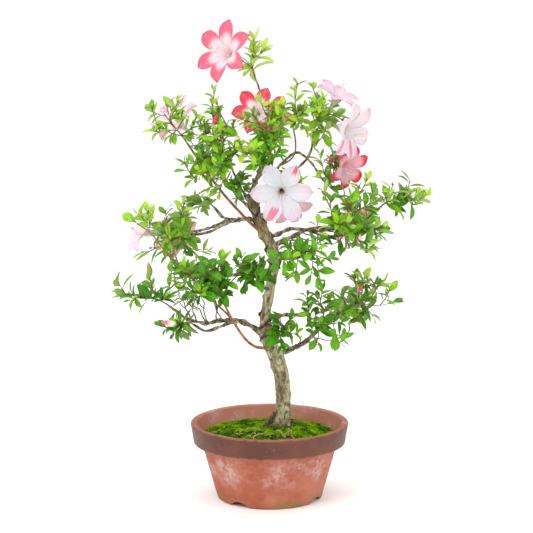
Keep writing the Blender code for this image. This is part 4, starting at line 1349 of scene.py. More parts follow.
@dataclass
class TubeMaker:
    """Lays round stock along a line, with relief where it is asked for."""

    def __post_init__(self) -> None:
        """Starts with no stock."""
        self.stocks: dict[tuple[int, int], Stock] = {}

    def stock(self, sides: int, rows: int) -> Stock:
        """A closed tube of unit radius whose height counts its rows, made once for each size.

        Args:
            sides: The sides of its section.
            rows: The stations along it.

        Returns:
            The stock.
        """
        key = (sides, rows)
        if key not in self.stocks:
            bm = bmesh.new()
            bm.loops.layers.uv.verify()
            bmesh.ops.create_grid(bm, x_segments=sides, y_segments=rows + 1, size=0.5, calc_uvs=True)
            for vert in bm.verts:
                angle = (vert.co.x + 0.5) * math.tau
                row = round((vert.co.y + 0.5) * (rows + 1))
                reach = 0.0 if row in (0, rows + 1) else 1.0
                height = min(max(row - 1, 0), rows - 1)
                vert.co = (math.cos(angle) * reach, math.sin(angle) * reach, height)
            bmesh.ops.remove_doubles(bm, verts=bm.verts, dist=1e-5)
            bmesh.ops.recalc_face_normals(bm, faces=bm.faces)
            self.stocks[key] = Stock.of(bm)
        return self.stocks[key]

    def lay_smooth(
        self, bundle: Bundle, rows: Sequence, count: int, sides: int, relief: Optional[Relief] = None, slot: int = 0
    ) -> np.ndarray:
        """Lays a tube along the smooth curve through some rows.

        Args:
            bundle: What the tube is added to.
            rows: The place and the radius at each station.
            count: How many stations the curve is read at.
            sides: The sides of the section.
            relief: The relief, as for lay.
            slot: The material slot.

        Returns:
            The curve's points, one row each.
        """
        fine = smooth_rows(np.array(rows), np.linspace(0, 1, count))
        self.lay(bundle, fine[:, :3], fine[:, 3], sides, relief, slot)
        return fine[:, :3]

    def lay(
        self, bundle: Bundle, line: np.ndarray, radii: np.ndarray, sides: int, relief: Optional[Relief] = None,
        slot: int = 0,
    ) -> None:
        """Lays a tube along a line.

        Args:
            bundle: What the tube is added to.
            line: The line's points, one row each.
            radii: The radius at each point.
            sides: The sides of the section.
            relief: The height to add at a point, and a painted shade from 0 in a groove to 1 where it stands proud.
            slot: The material slot.
        """
        stock = self.stock(sides, len(line))
        ways = np.gradient(line, axis=0)
        ways /= np.maximum(np.linalg.norm(ways, axis=1), 1e-12)[:, None]
        firsts = [np.array(square_to(Vector(ways[0]))[0])]
        for way in ways[1:]:
            first = firsts[-1] - way * float(firsts[-1] @ way)
            firsts.append(first / np.linalg.norm(first))
        seconds = np.cross(ways, firsts)
        k = np.rint(stock.points[:, 2]).astype(int)
        out = np.array(firsts)[k] * stock.points[:, :1] + seconds[k] * stock.points[:, 1:2]
        points = line[k] + out * radii[k][:, None]
        shades = np.full(len(points), 1.0)
        if relief:
            for i in range(len(points)):
                if out[i] @ out[i] > 0.5:
                    height, shades[i] = relief(Vector(points[i]), Vector(out[i]), int(k[i]))
                    points[i] += out[i] * height
        bundle.add(stock, points, slot, shades)


def rough(scale: float, height: float, level: float, depth: float = 0.6) -> Relief:
    """The relief of rough bark.

    Args:
        scale: How close its lumps are, for each metre.
        height: How tall they are.
        level: The shade halfway up, from 0 in a groove.
        depth: How far the shade changes from hollow to lump.

    Returns:
        The relief.
    """

    def relief(point: Vector, *_: object) -> tuple[float, float]:
        """The height and the shade at a point."""
        rise = noise.fractal(point * scale, 0.8, 2.0, 3)
        return rise * height, level + depth * rise

    return relief


@dataclass
class Wood:
    """The trunk, its surface roots and the boughs, with the relief of their bark.

    Attributes:
        skeleton: Where the limbs run.
        tubes: What lays them.
        trunk_sides: The sides of the trunk's section.
        bough_sides: The sides of a bough's section.
        trunk_step: The run between the trunk's stations.
        bough_step: The run between a bough's stations.
        ground: The height of the moss at the trunk.
        foot: The middle of the trunk's foot (mm), where the surface roots start.
        foot_reach: How far from it they come out (mm).
        knots: How many knots the trunk has besides those under its boughs.
        knot_heights: The least and most that a knot stands out (mm).
        knot_widths: The least and most that it is wide (mm).
        strand_stations: The stations along a strand.
        sway: How far an old bough and a smooth one wander off their lines.
        wander_seed: The start of the noise that they wander by.
        seed: The chance that the bark is drawn from.
    """

    skeleton: Skeleton
    tubes: TubeMaker
    trunk_sides: int = 56
    bough_sides: int = 18
    trunk_step: float = 1.3 * MM
    bough_step: float = 1.4 * MM
    ground: float = 79.3 * MM
    foot: Triple = (12.6, 8.0, 80.4)
    foot_reach: float = 6.5
    knots: int = 26
    knot_heights: Pair = (0.6, 2.0)
    knot_widths: Pair = (2.4, 4.4)
    strand_stations: int = 42
    sway: Pair = (1.7 * MM, 0.5 * MM)
    wander_seed: int = 1795481642
    seed: int = 71

    def detailed(self, limb: Limb, step: float) -> tuple[np.ndarray, np.ndarray]:
        """The limb's line and radii read closely from a smooth curve."""
        rows = np.array([[*point, radius] for point, radius in zip(limb.points, limb.radii)])
        fine = smooth_rows(rows, np.linspace(0.0, 1.0, max(8, int(length_of(limb.points) / step))))
        return fine[:, :3], fine[:, 3]

    def trunk_relief(self, knots: list[tuple[Vector, float, float]]) -> Relief:
        """Ridges that run up the trunk, lumps, pits and knots, with a painted shade that is darkest in the grooves and
        pits.

        Args:
            knots: Each knot's place, height and width.

        Returns:
            The relief.
        """

        def height(point: Vector, out: Vector, _: int) -> tuple[float, float]:
            """The height and the shade at a point of the trunk."""
            ridges = noise.fractal(Vector((out.x * 2.3, out.y * 2.3, point.z * 42)), 0.8, 2.0, 4)
            grain = noise.fractal(Vector((out.x * 7, out.y * 7, point.z * 190)), 0.9, 2.1, 4)
            lumps = noise.noise(point * 85)
            pits = min(0.0, noise.noise(point * 210) + 0.22)
            swell = sum(tall * math.exp(-((point - at).length / wide) ** 2) for at, tall, wide in knots)
            rise = ridges * 0.85 + grain * 0.42 + lumps * 0.75 + pits * 2.0
            return rise * MM + swell, min(1.0, max(0.0, 0.55 + 0.55 * ridges + 0.5 * grain + 2.2 * pits))

        return height

    def build_trunk(self) -> None:
        """Builds the trunk with its knots, its flared foot and its surface roots."""
        rng = random.Random(self.seed)
        line, radii = self.detailed(self.skeleton.limbs["trunk"], self.trunk_step)
        keep = line[:, 2] > self.ground - 2.5 * MM
        line, radii = line[keep], radii[keep]
        knots = []
        for _ in range(self.knots):
            k = rng.randrange(8, len(line))
            out = level_way(rng.uniform(0, math.tau), rng.uniform(-0.2, 0.2))
            tall, wide = rng.uniform(*self.knot_heights) * MM, rng.uniform(*self.knot_widths) * MM
            knots.append((Vector(line[k]) + out * radii[k], tall, wide))
        for limb in (self.skeleton.limbs[bough.name] for bough in BOUGHS if bough.parent == "trunk"):
            knots.append((limb.points[0].lerp(limb.points[1], 0.4), 1.3 * MM, limb.radii[0] * 1.9))
        bundle = Bundle("trunk_wood")
        self.tubes.lay(bundle, line, radii, self.trunk_sides, self.trunk_relief(knots))
        self.add_roots(bundle, rng)
        self.add_strands(bundle, line, radii)
        finishes = [
            BarkFinish("bark_trunk", cracked=0.6, grooved=0.65, rusted=1.0, dark_foot=0.9, dark_top=0.3),
            BarkFinish("bark_root", pale=(128, 106, 72), body=(58, 44, 28), crack=(30, 22, 14), cracked=0.9,
                       green=0.2, fine=2.0),
            BarkFinish("bark_strand", pale=(104, 84, 66), body=(66, 48, 38), crack=(34, 22, 18), green=0.1, fine=2.0),
            BarkFinish("bark_rootlet", pale=(206, 182, 118), body=(150, 122, 66), cracked=0.5, green=0.4, fine=2.5),
        ]
        bundle.piece(finishes, ["trunk"], "bark", 70.0)

    def add_strands(self, bundle: Bundle, line: np.ndarray, radii: np.ndarray) -> None:
        """Winds old dark strands of dead wood round the trunk where it has been bound.

        Args:
            bundle: The trunk's bundle.
            line: The trunk's line.
            radii: Its radii.
        """
        count = self.strand_stations
        ends = np.linspace(0.3, 6, count)
        taper = np.minimum(1.0, np.minimum(ends, ends[::-1]))
        for low, high, turns, start, thick in (
            (180, 214, 1.1, 0.4, 1.7), (178, 206, 0.9, 2.6, 1.4), (186, 217, 0.9, 4.4, 1.5),
            (258, 292, 1.2, 3.4, 1.4), (262, 284, -1.3, 1.1, 1.1), (296, 346, 1.6, 5.0, 1.3),
            (304, 350, -1.3, 2.4, 1.1), (288, 330, 0.8, 0.2, 1.0),
        ):
            rows = []
            for k, z in enumerate(np.linspace(low, high, count)):
                at = int(np.argmin(np.abs(line[:, 2] - z * MM)))
                wander = 0.5 * noise.noise(Vector((start * 9, 0, z * 0.09)))
                angle = start + math.tau * turns * k / (count - 1) + wander
                out = radii[at] + (1.3 + 0.6 * noise.noise(Vector((start, 5, z * 0.12)))) * MM
                rows.append((line[at, 0] + math.cos(angle) * out, line[at, 1] + math.sin(angle) * out, z * MM))
            self.tubes.lay(bundle, np.array(rows), thick * MM * taper, 9, rough(330, 0.4 * MM, 0.55), 2)

    def add_roots(self, bundle: Bundle, rng: random.Random) -> None:
        """Adds the roots that run out over the moss from the trunk's foot.

        Args:
            bundle: The trunk's bundle.
            rng: The chance their bends are drawn from.
        """
        foot, near = vec_mm(self.foot), self.foot_reach
        stub = np.array([
            (6.5, 5.0, 96.0, 2.2), (2.5, 3.0, 90.0, 2.7), (-1.5, 1.0, 85.0, 2.5), (-7.0, -1.0, 80.5, 2.0),
        ])
        self.tubes.lay_smooth(bundle, stub * MM, 22, 12, rough(330, 0.9 * MM, 0.5, 0.0), 1)
        for azimuth, reach, radius in (
            (-168, 30, 2.0), (-146, 46, 1.3), (-128, 38, 1.0), (-108, 24, 1.9), (-84, 21, 1.3), (-60, 30, 1.7),
            (-35, 19, 1.1), (-6, 22, 1.5), (34, 20, 1.5), (76, 22, 1.6), (128, 24, 1.7), (160, 20, 1.2),
        ):
            angle = math.radians(azimuth)
            bend = rng.uniform(-1.1, 1.1)
            rows = []
            for k in range(7):
                t = k / 6
                turn = angle + bend * t + rng.uniform(-0.3, 0.3) * t
                run = (near + (reach - near) * t) * MM
                high = (3.4 * (1 - t) ** 3 + 1.1 * math.sin(t * 9 + azimuth) * (1 - t) - 2.0 * t) * MM
                fall = 2.6 * MM * ease(run / MM, 22, 60)
                place = foot + level_way(turn) * run + Vector((0, 0, high - fall))
                rows.append([*place, radius * MM * (1.25 - 0.85 * t)])
            self.tubes.lay_smooth(bundle, rows, 34, 10, rough(420, 0.35 * MM, 0.7), 1)
        self.add_rootlets(bundle, rng)

    def add_rootlets(self, bundle: Bundle, rng: random.Random) -> None:
        """Adds the thin pale rootlets that curl over the moss in front of the trunk.

        Args:
            bundle: The trunk's bundle.
            rng: The chance their curls are drawn from.
        """
        moss = Moss()
        for x, y, heading, reach, thick in (
            (-3, -18, -112, 22, 0.95), (-12, -34, -128, 22, 0.8), (-8, -30, -160, 16, 0.65), (-18, -40, -96, 14, 0.6),
            (9, -22, -78, 22, 0.9), (21, -10, -76, 24, 0.9), (25, -34, -62, 14, 0.65), (16, -30, -90, 18, 0.65),
            (-14, -6, -172, 18, 0.9), (-30, -10, 170, 12, 0.65), (-30, -26, -150, 14, 0.65), (0, -44, -100, 12, 0.65),
        ):
            place, turn = Vector((x, y, 0.0)) * MM, math.radians(heading)
            rows = []
            for k in range(8):
                rise = (1.0 * math.sin(math.pi * k / 7) + 0.2) * MM * (1 if k % 3 else -0.2)
                rows.append([place.x, place.y, moss.level(place.x, place.y) + rise, thick * MM * (1.1 - 0.08 * k)])
                turn += rng.uniform(-0.75, 0.75)
                place = place + level_way(turn) * reach / 7 * MM
            self.tubes.lay_smooth(bundle, rows, 26, 6, None, 3)

    def build_boughs(self) -> None:
        """Builds the boughs: gnarled ones in grey bark, and the smooth tan ones of last year's wood."""
        rng = random.Random(self.seed + 1)
        noise.seed_set(self.wander_seed)
        gnarled, smooth = Bundle("boughs_gnarled"), Bundle("boughs_smooth")
        for bough in BOUGHS:
            line, radii = self.detailed(self.skeleton.limbs[bough.name], self.bough_step)
            plain = bough.name in SMOOTH_BOUGHS
            shares = np.linspace(0, 1, len(line))
            hold = np.clip(np.minimum(shares, 1 - shares) * 7, 0, 1)
            start = rng.uniform(0, 90)
            for k in range(len(line)):
                wander = noise.noise_vector(Vector((start, 0, k * self.bough_step * 52)))
                line[k] += np.array(wander) * self.sway[plain] * hold[k]
            along = shares * len(line) * self.bough_step
            radii = radii * SLIM_BOUGHS.get(bough.name, 1.0) * (1.0 + 0.75 * np.exp(-along / (4.5 * MM)))
            twist = rng.choice((-1, 1)) * rng.uniform(1.3, 2.0)
            relief = None if plain else self.bough_relief(radii, twist, start)
            self.tubes.lay(smooth if plain else gnarled, line, radii, self.bough_sides, relief)
        old = BarkFinish("bark_bough", pale=(194, 180, 146), body=(104, 80, 60), crack=(44, 28, 22), fine=1.6)
        young = BarkFinish("bark_young", pale=(176, 122, 84), body=(140, 88, 58), crack=(88, 54, 38), cracked=0.4,
                           green=0.0, fine=1.4)
        names = [bough.name for bough in BOUGHS if bough.name not in SMOOTH_BOUGHS]
        gnarled.piece([old], names, "bark", 75.0)
        smooth.piece([young], sorted(SMOOTH_BOUGHS), "bark", 75.0)

    def bough_relief(self, radii: np.ndarray, twist: float, start: float) -> Relief:
        """Two strands of old wood that wind round each other, with lumps and knobs, and a painted shade that is darkest
        between the strands.

        Args:
            radii: The bough's radii.
            twist: How the strands wind, in turns for each 25 mm.
            start: Where in the noise this bough is read.

        Returns:
            The relief.
        """

        def height(point: Vector, out: Vector, k: int) -> tuple[float, float]:
            """The height and the shade at a point of the bough's station k."""
            angle = math.atan2(out.dot(Vector((0, 1, 0.3))), out.z + out.x * 0.2)
            run = k * self.bough_step / (25 * MM)
            drift = 2.0 * noise.noise(Vector((start, run * 1.7, 0)))
            wave = math.sin(2 * angle + twist * math.tau * run + drift)
            lump = noise.fractal(point * 260, 0.9, 2.0, 3)
            knob = max(0.0, noise.noise(Vector((start, 4.0, k * self.bough_step * 95))) - 0.15)
            rise = 0.20 * wave + 0.24 * lump + 0.75 * knob
            return radii[k] * rise, min(1.0, max(0.0, 0.5 + 0.42 * wave + 0.4 * lump + knob))

        return height


# ================================================================ foliage


@dataclass(frozen=True)
class LeafForm:
    """The outline and set of one leaf: all sizes are shares of its length.

    Attributes:
        width: Its full width.
        widest: How far along it is widest.
        fold: How far its edges rise above its midrib.
        curl: How far it arches back, in radians.
        twist: How far it turns along its length, in radians.
        thick: How thick it is at its midrib.
        rows: How many bands of faces it has along its length.
    """

    width: float = 0.37
    widest: float = 0.55
    fold: float = 0.25
    curl: float = 0.5
    twist: float = 0.0
    thick: float = 0.014
    rows: int = 8

    def half_width(self, along: float) -> float:
        """Half the leaf's width at a share of its length: nothing at the root and at the pointed tip."""
        if not 0.0 < along < 1.0:
            return 0.0
        warped = along ** (math.log(0.5) / math.log(self.widest))
        return self.width / 2 * math.sin(math.pi * warped) ** 0.95

    def stock(self) -> Stock:
        """The leaf as a closed blade, one unit long, along +Y with its face to +Z."""
        bm = bmesh.new()
        layer = bm.loops.layers.uv.verify()
        bmesh.ops.create_uvsphere(bm, u_segments=4, v_segments=self.rows, radius=0.5)
        bmesh.ops.rotate(bm, verts=bm.verts, matrix=Matrix.Rotation(math.pi / 2, 3, "X"))
        bm.normal_update()
        tops = {face for face in bm.faces if face.normal.z > 0}
        shares = {}
        for vert in bm.verts:
            along = round(math.acos(max(-1.0, min(1.0, -vert.co.y * 2))) / math.pi * self.rows) / self.rows
            side = 0 if abs(vert.co.x) < 1e-4 else math.copysign(1, vert.co.x)
            level = 0 if abs(vert.co.z) < 1e-4 or side else math.copysign(1, vert.co.z)
            shares[vert] = (side, along)
            reach = self.half_width(along)
            lift = abs(side) * reach * self.fold * 2 + level * self.thick / 2
            turn = self.twist * (along - 0.3)
            x = side * reach * math.cos(turn) - lift * math.sin(turn)
            z = side * reach * math.sin(turn) + lift * math.cos(turn)
            bend = self.curl * along
            y, drop = math.sin(bend) / self.curl, (1 - math.cos(bend)) / self.curl
            vert.co = (x, y + z * math.sin(bend), z * math.cos(bend) - drop)
        for face in bm.faces:
            for loop in face.loops:
                side, along = shares[loop.vert]
                loop[layer].uv = (0.5 + side / 2 * 0.98 + (0.0 if face in tops else 1.0), along)
        bmesh.ops.recalc_face_normals(bm, faces=bm.faces)
        return Stock.of(bm)


@dataclass
class Foliage:
    """Shoots, leaves, scales and buds of every mass."""

    skeleton: Skeleton
    tubes: TubeMaker
    room: Room
    leaf_length: float = 22.5 * MM
    upper_length: float = 18.0 * MM
    leaf_step: float = 1.7 * MM
    leaf_spread: Pair = (0.80, 1.20)
    tip_leaves: tuple[int, ...] = (5, 6, 7, 8)
    side_leaves: tuple[int, ...] = (4, 5, 6)
    tries: int = 5
    twig_slim: float = 0.66
    side_tries: int = 4
    side_step: float = 23.0 * MM
    side_first: float = 0.34
    side_lean: Pair = (38, 66)
    side_reach: Pair = (9, 24)
    side_radii: Triple = (0.75 * MM, 0.62 * MM, 0.5 * MM)
    scale_sizes: Pair = (3.0, 4.6)
    golden: float = math.radians(137.5)
    tint_steps: tuple[tuple[float, str], ...] = ((0.80, "leaves_new"), (0.50, "leaves_fresh"), (0.22, "leaves_full"))

    def __post_init__(self) -> None:
        """Makes the leaf forms and the bundles that the crown is gathered in."""
        forms = [
            LeafForm(width=0.40, fold=0.18),
            LeafForm(width=0.33, fold=0.30, curl=0.7, twist=0.25),
            LeafForm(width=0.44, fold=0.12, curl=0.3, twist=-0.3),
            LeafForm(width=0.41, widest=0.57, fold=0.18, curl=0.75),
            LeafForm(width=0.30, fold=0.34, curl=-0.3, twist=0.15),
            LeafForm(width=0.48, widest=0.56, fold=0.08, curl=0.5, twist=0.4),
        ]
        self.forms = [form.stock() for form in forms]
        # The leaf tints run from dark to light: partly the real greens of old and young leaves, partly painted shade on
        # inner and low shoots and painted light on upper and outer ones.
        self.tints = {
            "leaves_deep": LeafFinish("leaf_deep", green=(74, 150, 10), rib=(140, 192, 56), under=(140, 176, 96)),
            "leaves_full": LeafFinish("leaf_full", green=(104, 178, 12), rib=(168, 210, 70), under=(164, 194, 108)),
            "leaves_fresh": LeafFinish("leaf_fresh", green=(146, 208, 22), rib=(200, 230, 92), under=(184, 212, 116)),
            "leaves_new": LeafFinish("leaf_new", green=(190, 228, 56), rib=(220, 240, 120), under=(202, 226, 124)),
        }
        self.leaves = {name: Bundle(name) for name in self.tints}
        self.twigs = Bundle("twigs")
        self.scales = Bundle("bud_scales")
        self.scale_stock = self.scale()

    def scale(self) -> Stock:
        """A bud scale: a small pointed husk, one unit long, along +Y."""
        bm = ball(5, 4, laid=True)
        for vert in bm.verts:
            t = vert.co.y + 0.5
            slim = 0.44 * (1 - 0.6 * t)
            vert.co = (vert.co.x * slim * 1.6, t, vert.co.z * slim - 0.12 * t * t)
        bmesh.ops.recalc_face_normals(bm, faces=bm.faces)
        return Stock.of(bm)

    def shoots_of(self, twig: Twig, space: Space, rng: random.Random) -> Iterator[Shoot]:
        """The leafy ends that a twig bears: its own, and those of the side shoots along it.

        Args:
            twig: The twig.
            space: The mass it is in.
            rng: The mass's own chance.

        Yields:
            Each shoot, once its wood is laid.
        """
        rows = np.array([[*point, radius * self.twig_slim] for point, radius in zip(twig.points, twig.radii)])
        length = length_of(twig.points)
        line = self.tubes.lay_smooth(self.twigs, rows, max(4, int(length / (4 * MM))), 6)
        if not twig.bloom:
            yield Shoot(line, rng.choice(self.tip_leaves))
        turn = rng.uniform(0, math.tau)
        step = self.side_step - 6 * MM * ease(twig.points[0].z, 0.30, 0.37)
        count = int(length / step * HABITS.get(space.name, Habit()).shoots)
        for k in range(count):
            share = self.side_first + 0.56 * (k + rng.uniform(0.0, 0.8)) / count
            here = smooth_rows(rows, np.array([share, share + 0.02]))
            start, way = Vector(here[0, :3]), Vector(here[1, :3] - here[0, :3]).normalized()
            for attempt in range(self.side_tries):
                angle = turn + self.golden * (k + attempt * 1.4)
                out = way_on_cone(way, angle, math.radians(rng.uniform(*self.side_lean)))
                out = (out + Vector((0, 0, 0.45))).normalized()
                reach = rng.uniform(*self.side_reach) * MM
                tip = start + out * reach + Vector((0, 0, reach * 0.2))
                if self.room.free([tip], space):
                    middle = start + out * reach * 0.55
                    side = [[*place, radius] for place, radius in zip((start, middle, tip), self.side_radii)]
                    yield Shoot(self.tubes.lay_smooth(self.twigs, side, 5, 5), rng.choice(self.side_leaves))
                    break

    def tint_for(self, shoot: Shoot, space: Space, rng: random.Random) -> str:
        """The tint of a shoot's leaves: lighter towards the top and the outside of the mass, partly the fresh green of
        young growth and partly painted light, and darker on the low shoots in front, a painted shade.
        """
        height = ease(shoot.tip.z, 0.20, 0.48)
        out = self.room.share(shoot.tip, space)
        # Painted shade: low shoots at the front get a darker tint.
        shade = 0.20 * ease(-shoot.tip.y, 0.03, 0.07) * (1 - height)
        fresher = 0.3 if space.name == "apex" else 0.0
        # Partly painted light: higher and outer shoots get a lighter tint, besides the fresh green of young growth.
        freshness_and_light = 0.36 * height + 0.38 * out - shade + rng.gauss(0, 0.20) + fresher
        return next((tint for least, tint in self.tint_steps if freshness_and_light > least), "leaves_deep")

    def dress_shoot(self, shoot: Shoot, space: Space, rng: random.Random) -> int:
        """Sets a shoot's leaves in a spiral down from its tip, and the scales at its bud.

        Args:
            shoot: The shoot.
            space: The mass it is in.
            rng: The mass's own chance.

        Returns:
            How many leaves were set.
        """
        tint = self.tint_for(shoot, space, rng)
        turn = rng.uniform(0, math.tau)
        run = 0.75 * float(np.linalg.norm(np.diff(shoot.line, axis=0), axis=1).sum())
        scale = HABITS.get(space.name, Habit()).leaf
        leaning = self.room.share(shoot.tip, space) > 0.9
        count = 0
        for k in range(shoot.leaves):
            root, along = shoot.back(min(self.leaf_step * k**1.4, run))
            axis = (along + Vector((0, 0, 0.5))).normalized()
            age = k / max(1, shoot.leaves - 1)
            full = self.leaf_length + (self.upper_length - self.leaf_length) * ease(root.z, 0.33, 0.42)
            length = full * scale * (0.66 + 0.36 * age) * rng.uniform(*self.leaf_spread)
            for attempt in range(self.tries):
                angle = turn + k * self.golden + attempt * 0.8
                lean = math.radians(24 + 44 * age + rng.uniform(-12, 16))
                way = way_on_cone(axis, angle, lean)
                size = length * (1 - 0.03 * attempt)
                reach = [root + way * size, root + way * size * 0.55]
                if self.room.free(reach, space, leaning) and not any(map(self.room.in_sky, reach)):
                    self.set_leaf(tint, root, way, axis, size, age, rng)
                    count += 1
                    break
        tip, along = shoot.back(MM)
        for k in range(rng.choice((0, 0, 0, 0, 3, 4))):
            way = way_on_cone(along, turn + k * self.golden, math.radians(24))
            side, face = square_to(way)
            size = rng.uniform(*self.scale_sizes) * MM
            matrix = place_matrix(tip, side, way, face) @ Matrix.Scale(size, 4)
            self.scales.add(self.scale_stock, self.scale_stock.moved(matrix))
        return count

    def build_bare(self) -> None:
        """Adds the fine bare twigs: risers from the low left bough, and a wiry tangle on the right."""
        rng = random.Random(17)
        low = self.skeleton.limbs["left_low_bough"]
        for share, lean, rise in (
            (0.47, -12, 40), (0.51, -2, 36), (0.60, -9, 42), (0.62, -20, 38), (0.72, -8, 40), (0.78, -13, 36),
        ):
            start = low.at(share)[0]
            tip = start + Vector((lean, rng.uniform(-40, -28), rise)) * MM
            self.wire(start, tip, rng, 0.95, 1)
            self.wire(start.lerp(tip, 0.45), tip + Vector((rng.uniform(-9, 9), 0, -6)) * MM, rng, 0.7, 1)
        for name, count in (("right_middle_bough", 11), ("right_front_bough", 14), ("right_low_bough", 8)):
            limb = self.skeleton.limbs[name]
            for k in range(count):
                start = limb.at(0.12 + 0.66 * k / (count - 1))[0]
                away = Vector((rng.uniform(4, 34), rng.uniform(-30, 4), rng.uniform(-4, 22))) * MM
                if name == "right_middle_bough":
                    away.z = -abs(away.z)
                self.wire(start, start + away, rng, 0.85, 1)
        sweeping = self.skeleton.limbs["left_sweeping_bough"]
        for start, tip, thick in (
            (sweeping.at(0.72)[0], (-92, -66, 272), 1.3), (vec_mm((-74, -66, 254)), (-146, -48, 322), 1.2),
            (vec_mm((-66, -68, 248)), (-58, -72, 288), 1.0), (vec_mm((-100, -58, 278)), (-116, -52, 330), 1.0),
            (vec_mm((-52, -70, 246)), (-30, -70, 276), 1.0),
        ):
            self.wire(start, vec_mm(tip), rng, thick, 0)

    def wire(self, start: Vector, tip: Vector, rng: random.Random, thick: float, slot: int) -> None:
        """Lays one thin crooked twig.

        Args:
            start: Where it leaves its bough.
            tip: Its end.
            rng: The chance its crooks are drawn from.
            thick: Its radius in millimetres.
            slot: Its finish.
        """
        span = tip - start
        rows = []
        for k in range(6):
            t = k / 5
            crook = any_way(rng) * span.length * 0.035 * math.sin(math.pi * t)
            rows.append([*(start + span * t + crook), thick * MM * (1 - 0.45 * t)])
        self.tubes.lay_smooth(self.twigs, rows, 15, 5, None, slot)

    def set_leaf(
        self, tint: str, root: Vector, way: Vector, axis: Vector, size: float, age: float, rng: random.Random
    ) -> None:
        """Sets one leaf down, its face towards the shoot's tip and the sky."""
        outward = Vector((root.x, root.y, 0.0)) / (90 * MM)
        upward = axis * 0.4 + outward * 0.45 + Vector((rng.gauss(0, 0.18), rng.gauss(0, 0.18), 0.5))
        face = (upward - way * upward.dot(way)).normalized()
        matrix = place_matrix(root - way * 0.6 * MM, way.cross(face), way, face) @ Matrix.Scale(size, 4)
        stock = rng.choice(self.forms)
        shade = tint
        if age < 0.3 and tint in ("leaves_full", "leaves_fresh") and rng.random() < 0.5:
            shade = "leaves_fresh" if tint == "leaves_full" else "leaves_new"
        self.leaves[shade].add(stock, stock.moved(matrix))

    def build(self) -> None:
        """Grows every mass and makes its pieces."""
        total = 0
        for seed, space in enumerate(SPACES):
            plan, chance = random.Random(seed), random.Random(seed + 500)
            grown = list(self.skeleton.grow(space, plan))
            grown += self.skeleton.finer(space, grown, chance)
            for twig in grown:
                for shoot in self.shoots_of(twig, space, chance):
                    total += self.dress_shoot(shoot, space, chance)
        self.build_bare()
        log.info("leaves set: %d", total)
        for name, bundle in self.leaves.items():
            bundle.piece([self.tints[name]], sharp_deg=60.0)
        twig_finish = BarkFinish("bark_twig", pale=(150, 122, 70), body=(118, 78, 46), crack=(74, 44, 30),
                                 cracked=0.4, green=0.35, fine=2.0)
        wiry = BarkFinish("bark_wiry", pale=(140, 116, 92), body=(92, 64, 48), crack=(50, 32, 26), green=0.1, fine=2.0)
        self.twigs.piece([twig_finish, wiry], sharp_deg=75.0)
        self.scales.piece([TwoToneFinish("husk", foot=(140, 110, 50), tip=(150, 84, 48))], sharp_deg=60.0)


# ================================================================ blooms and buds


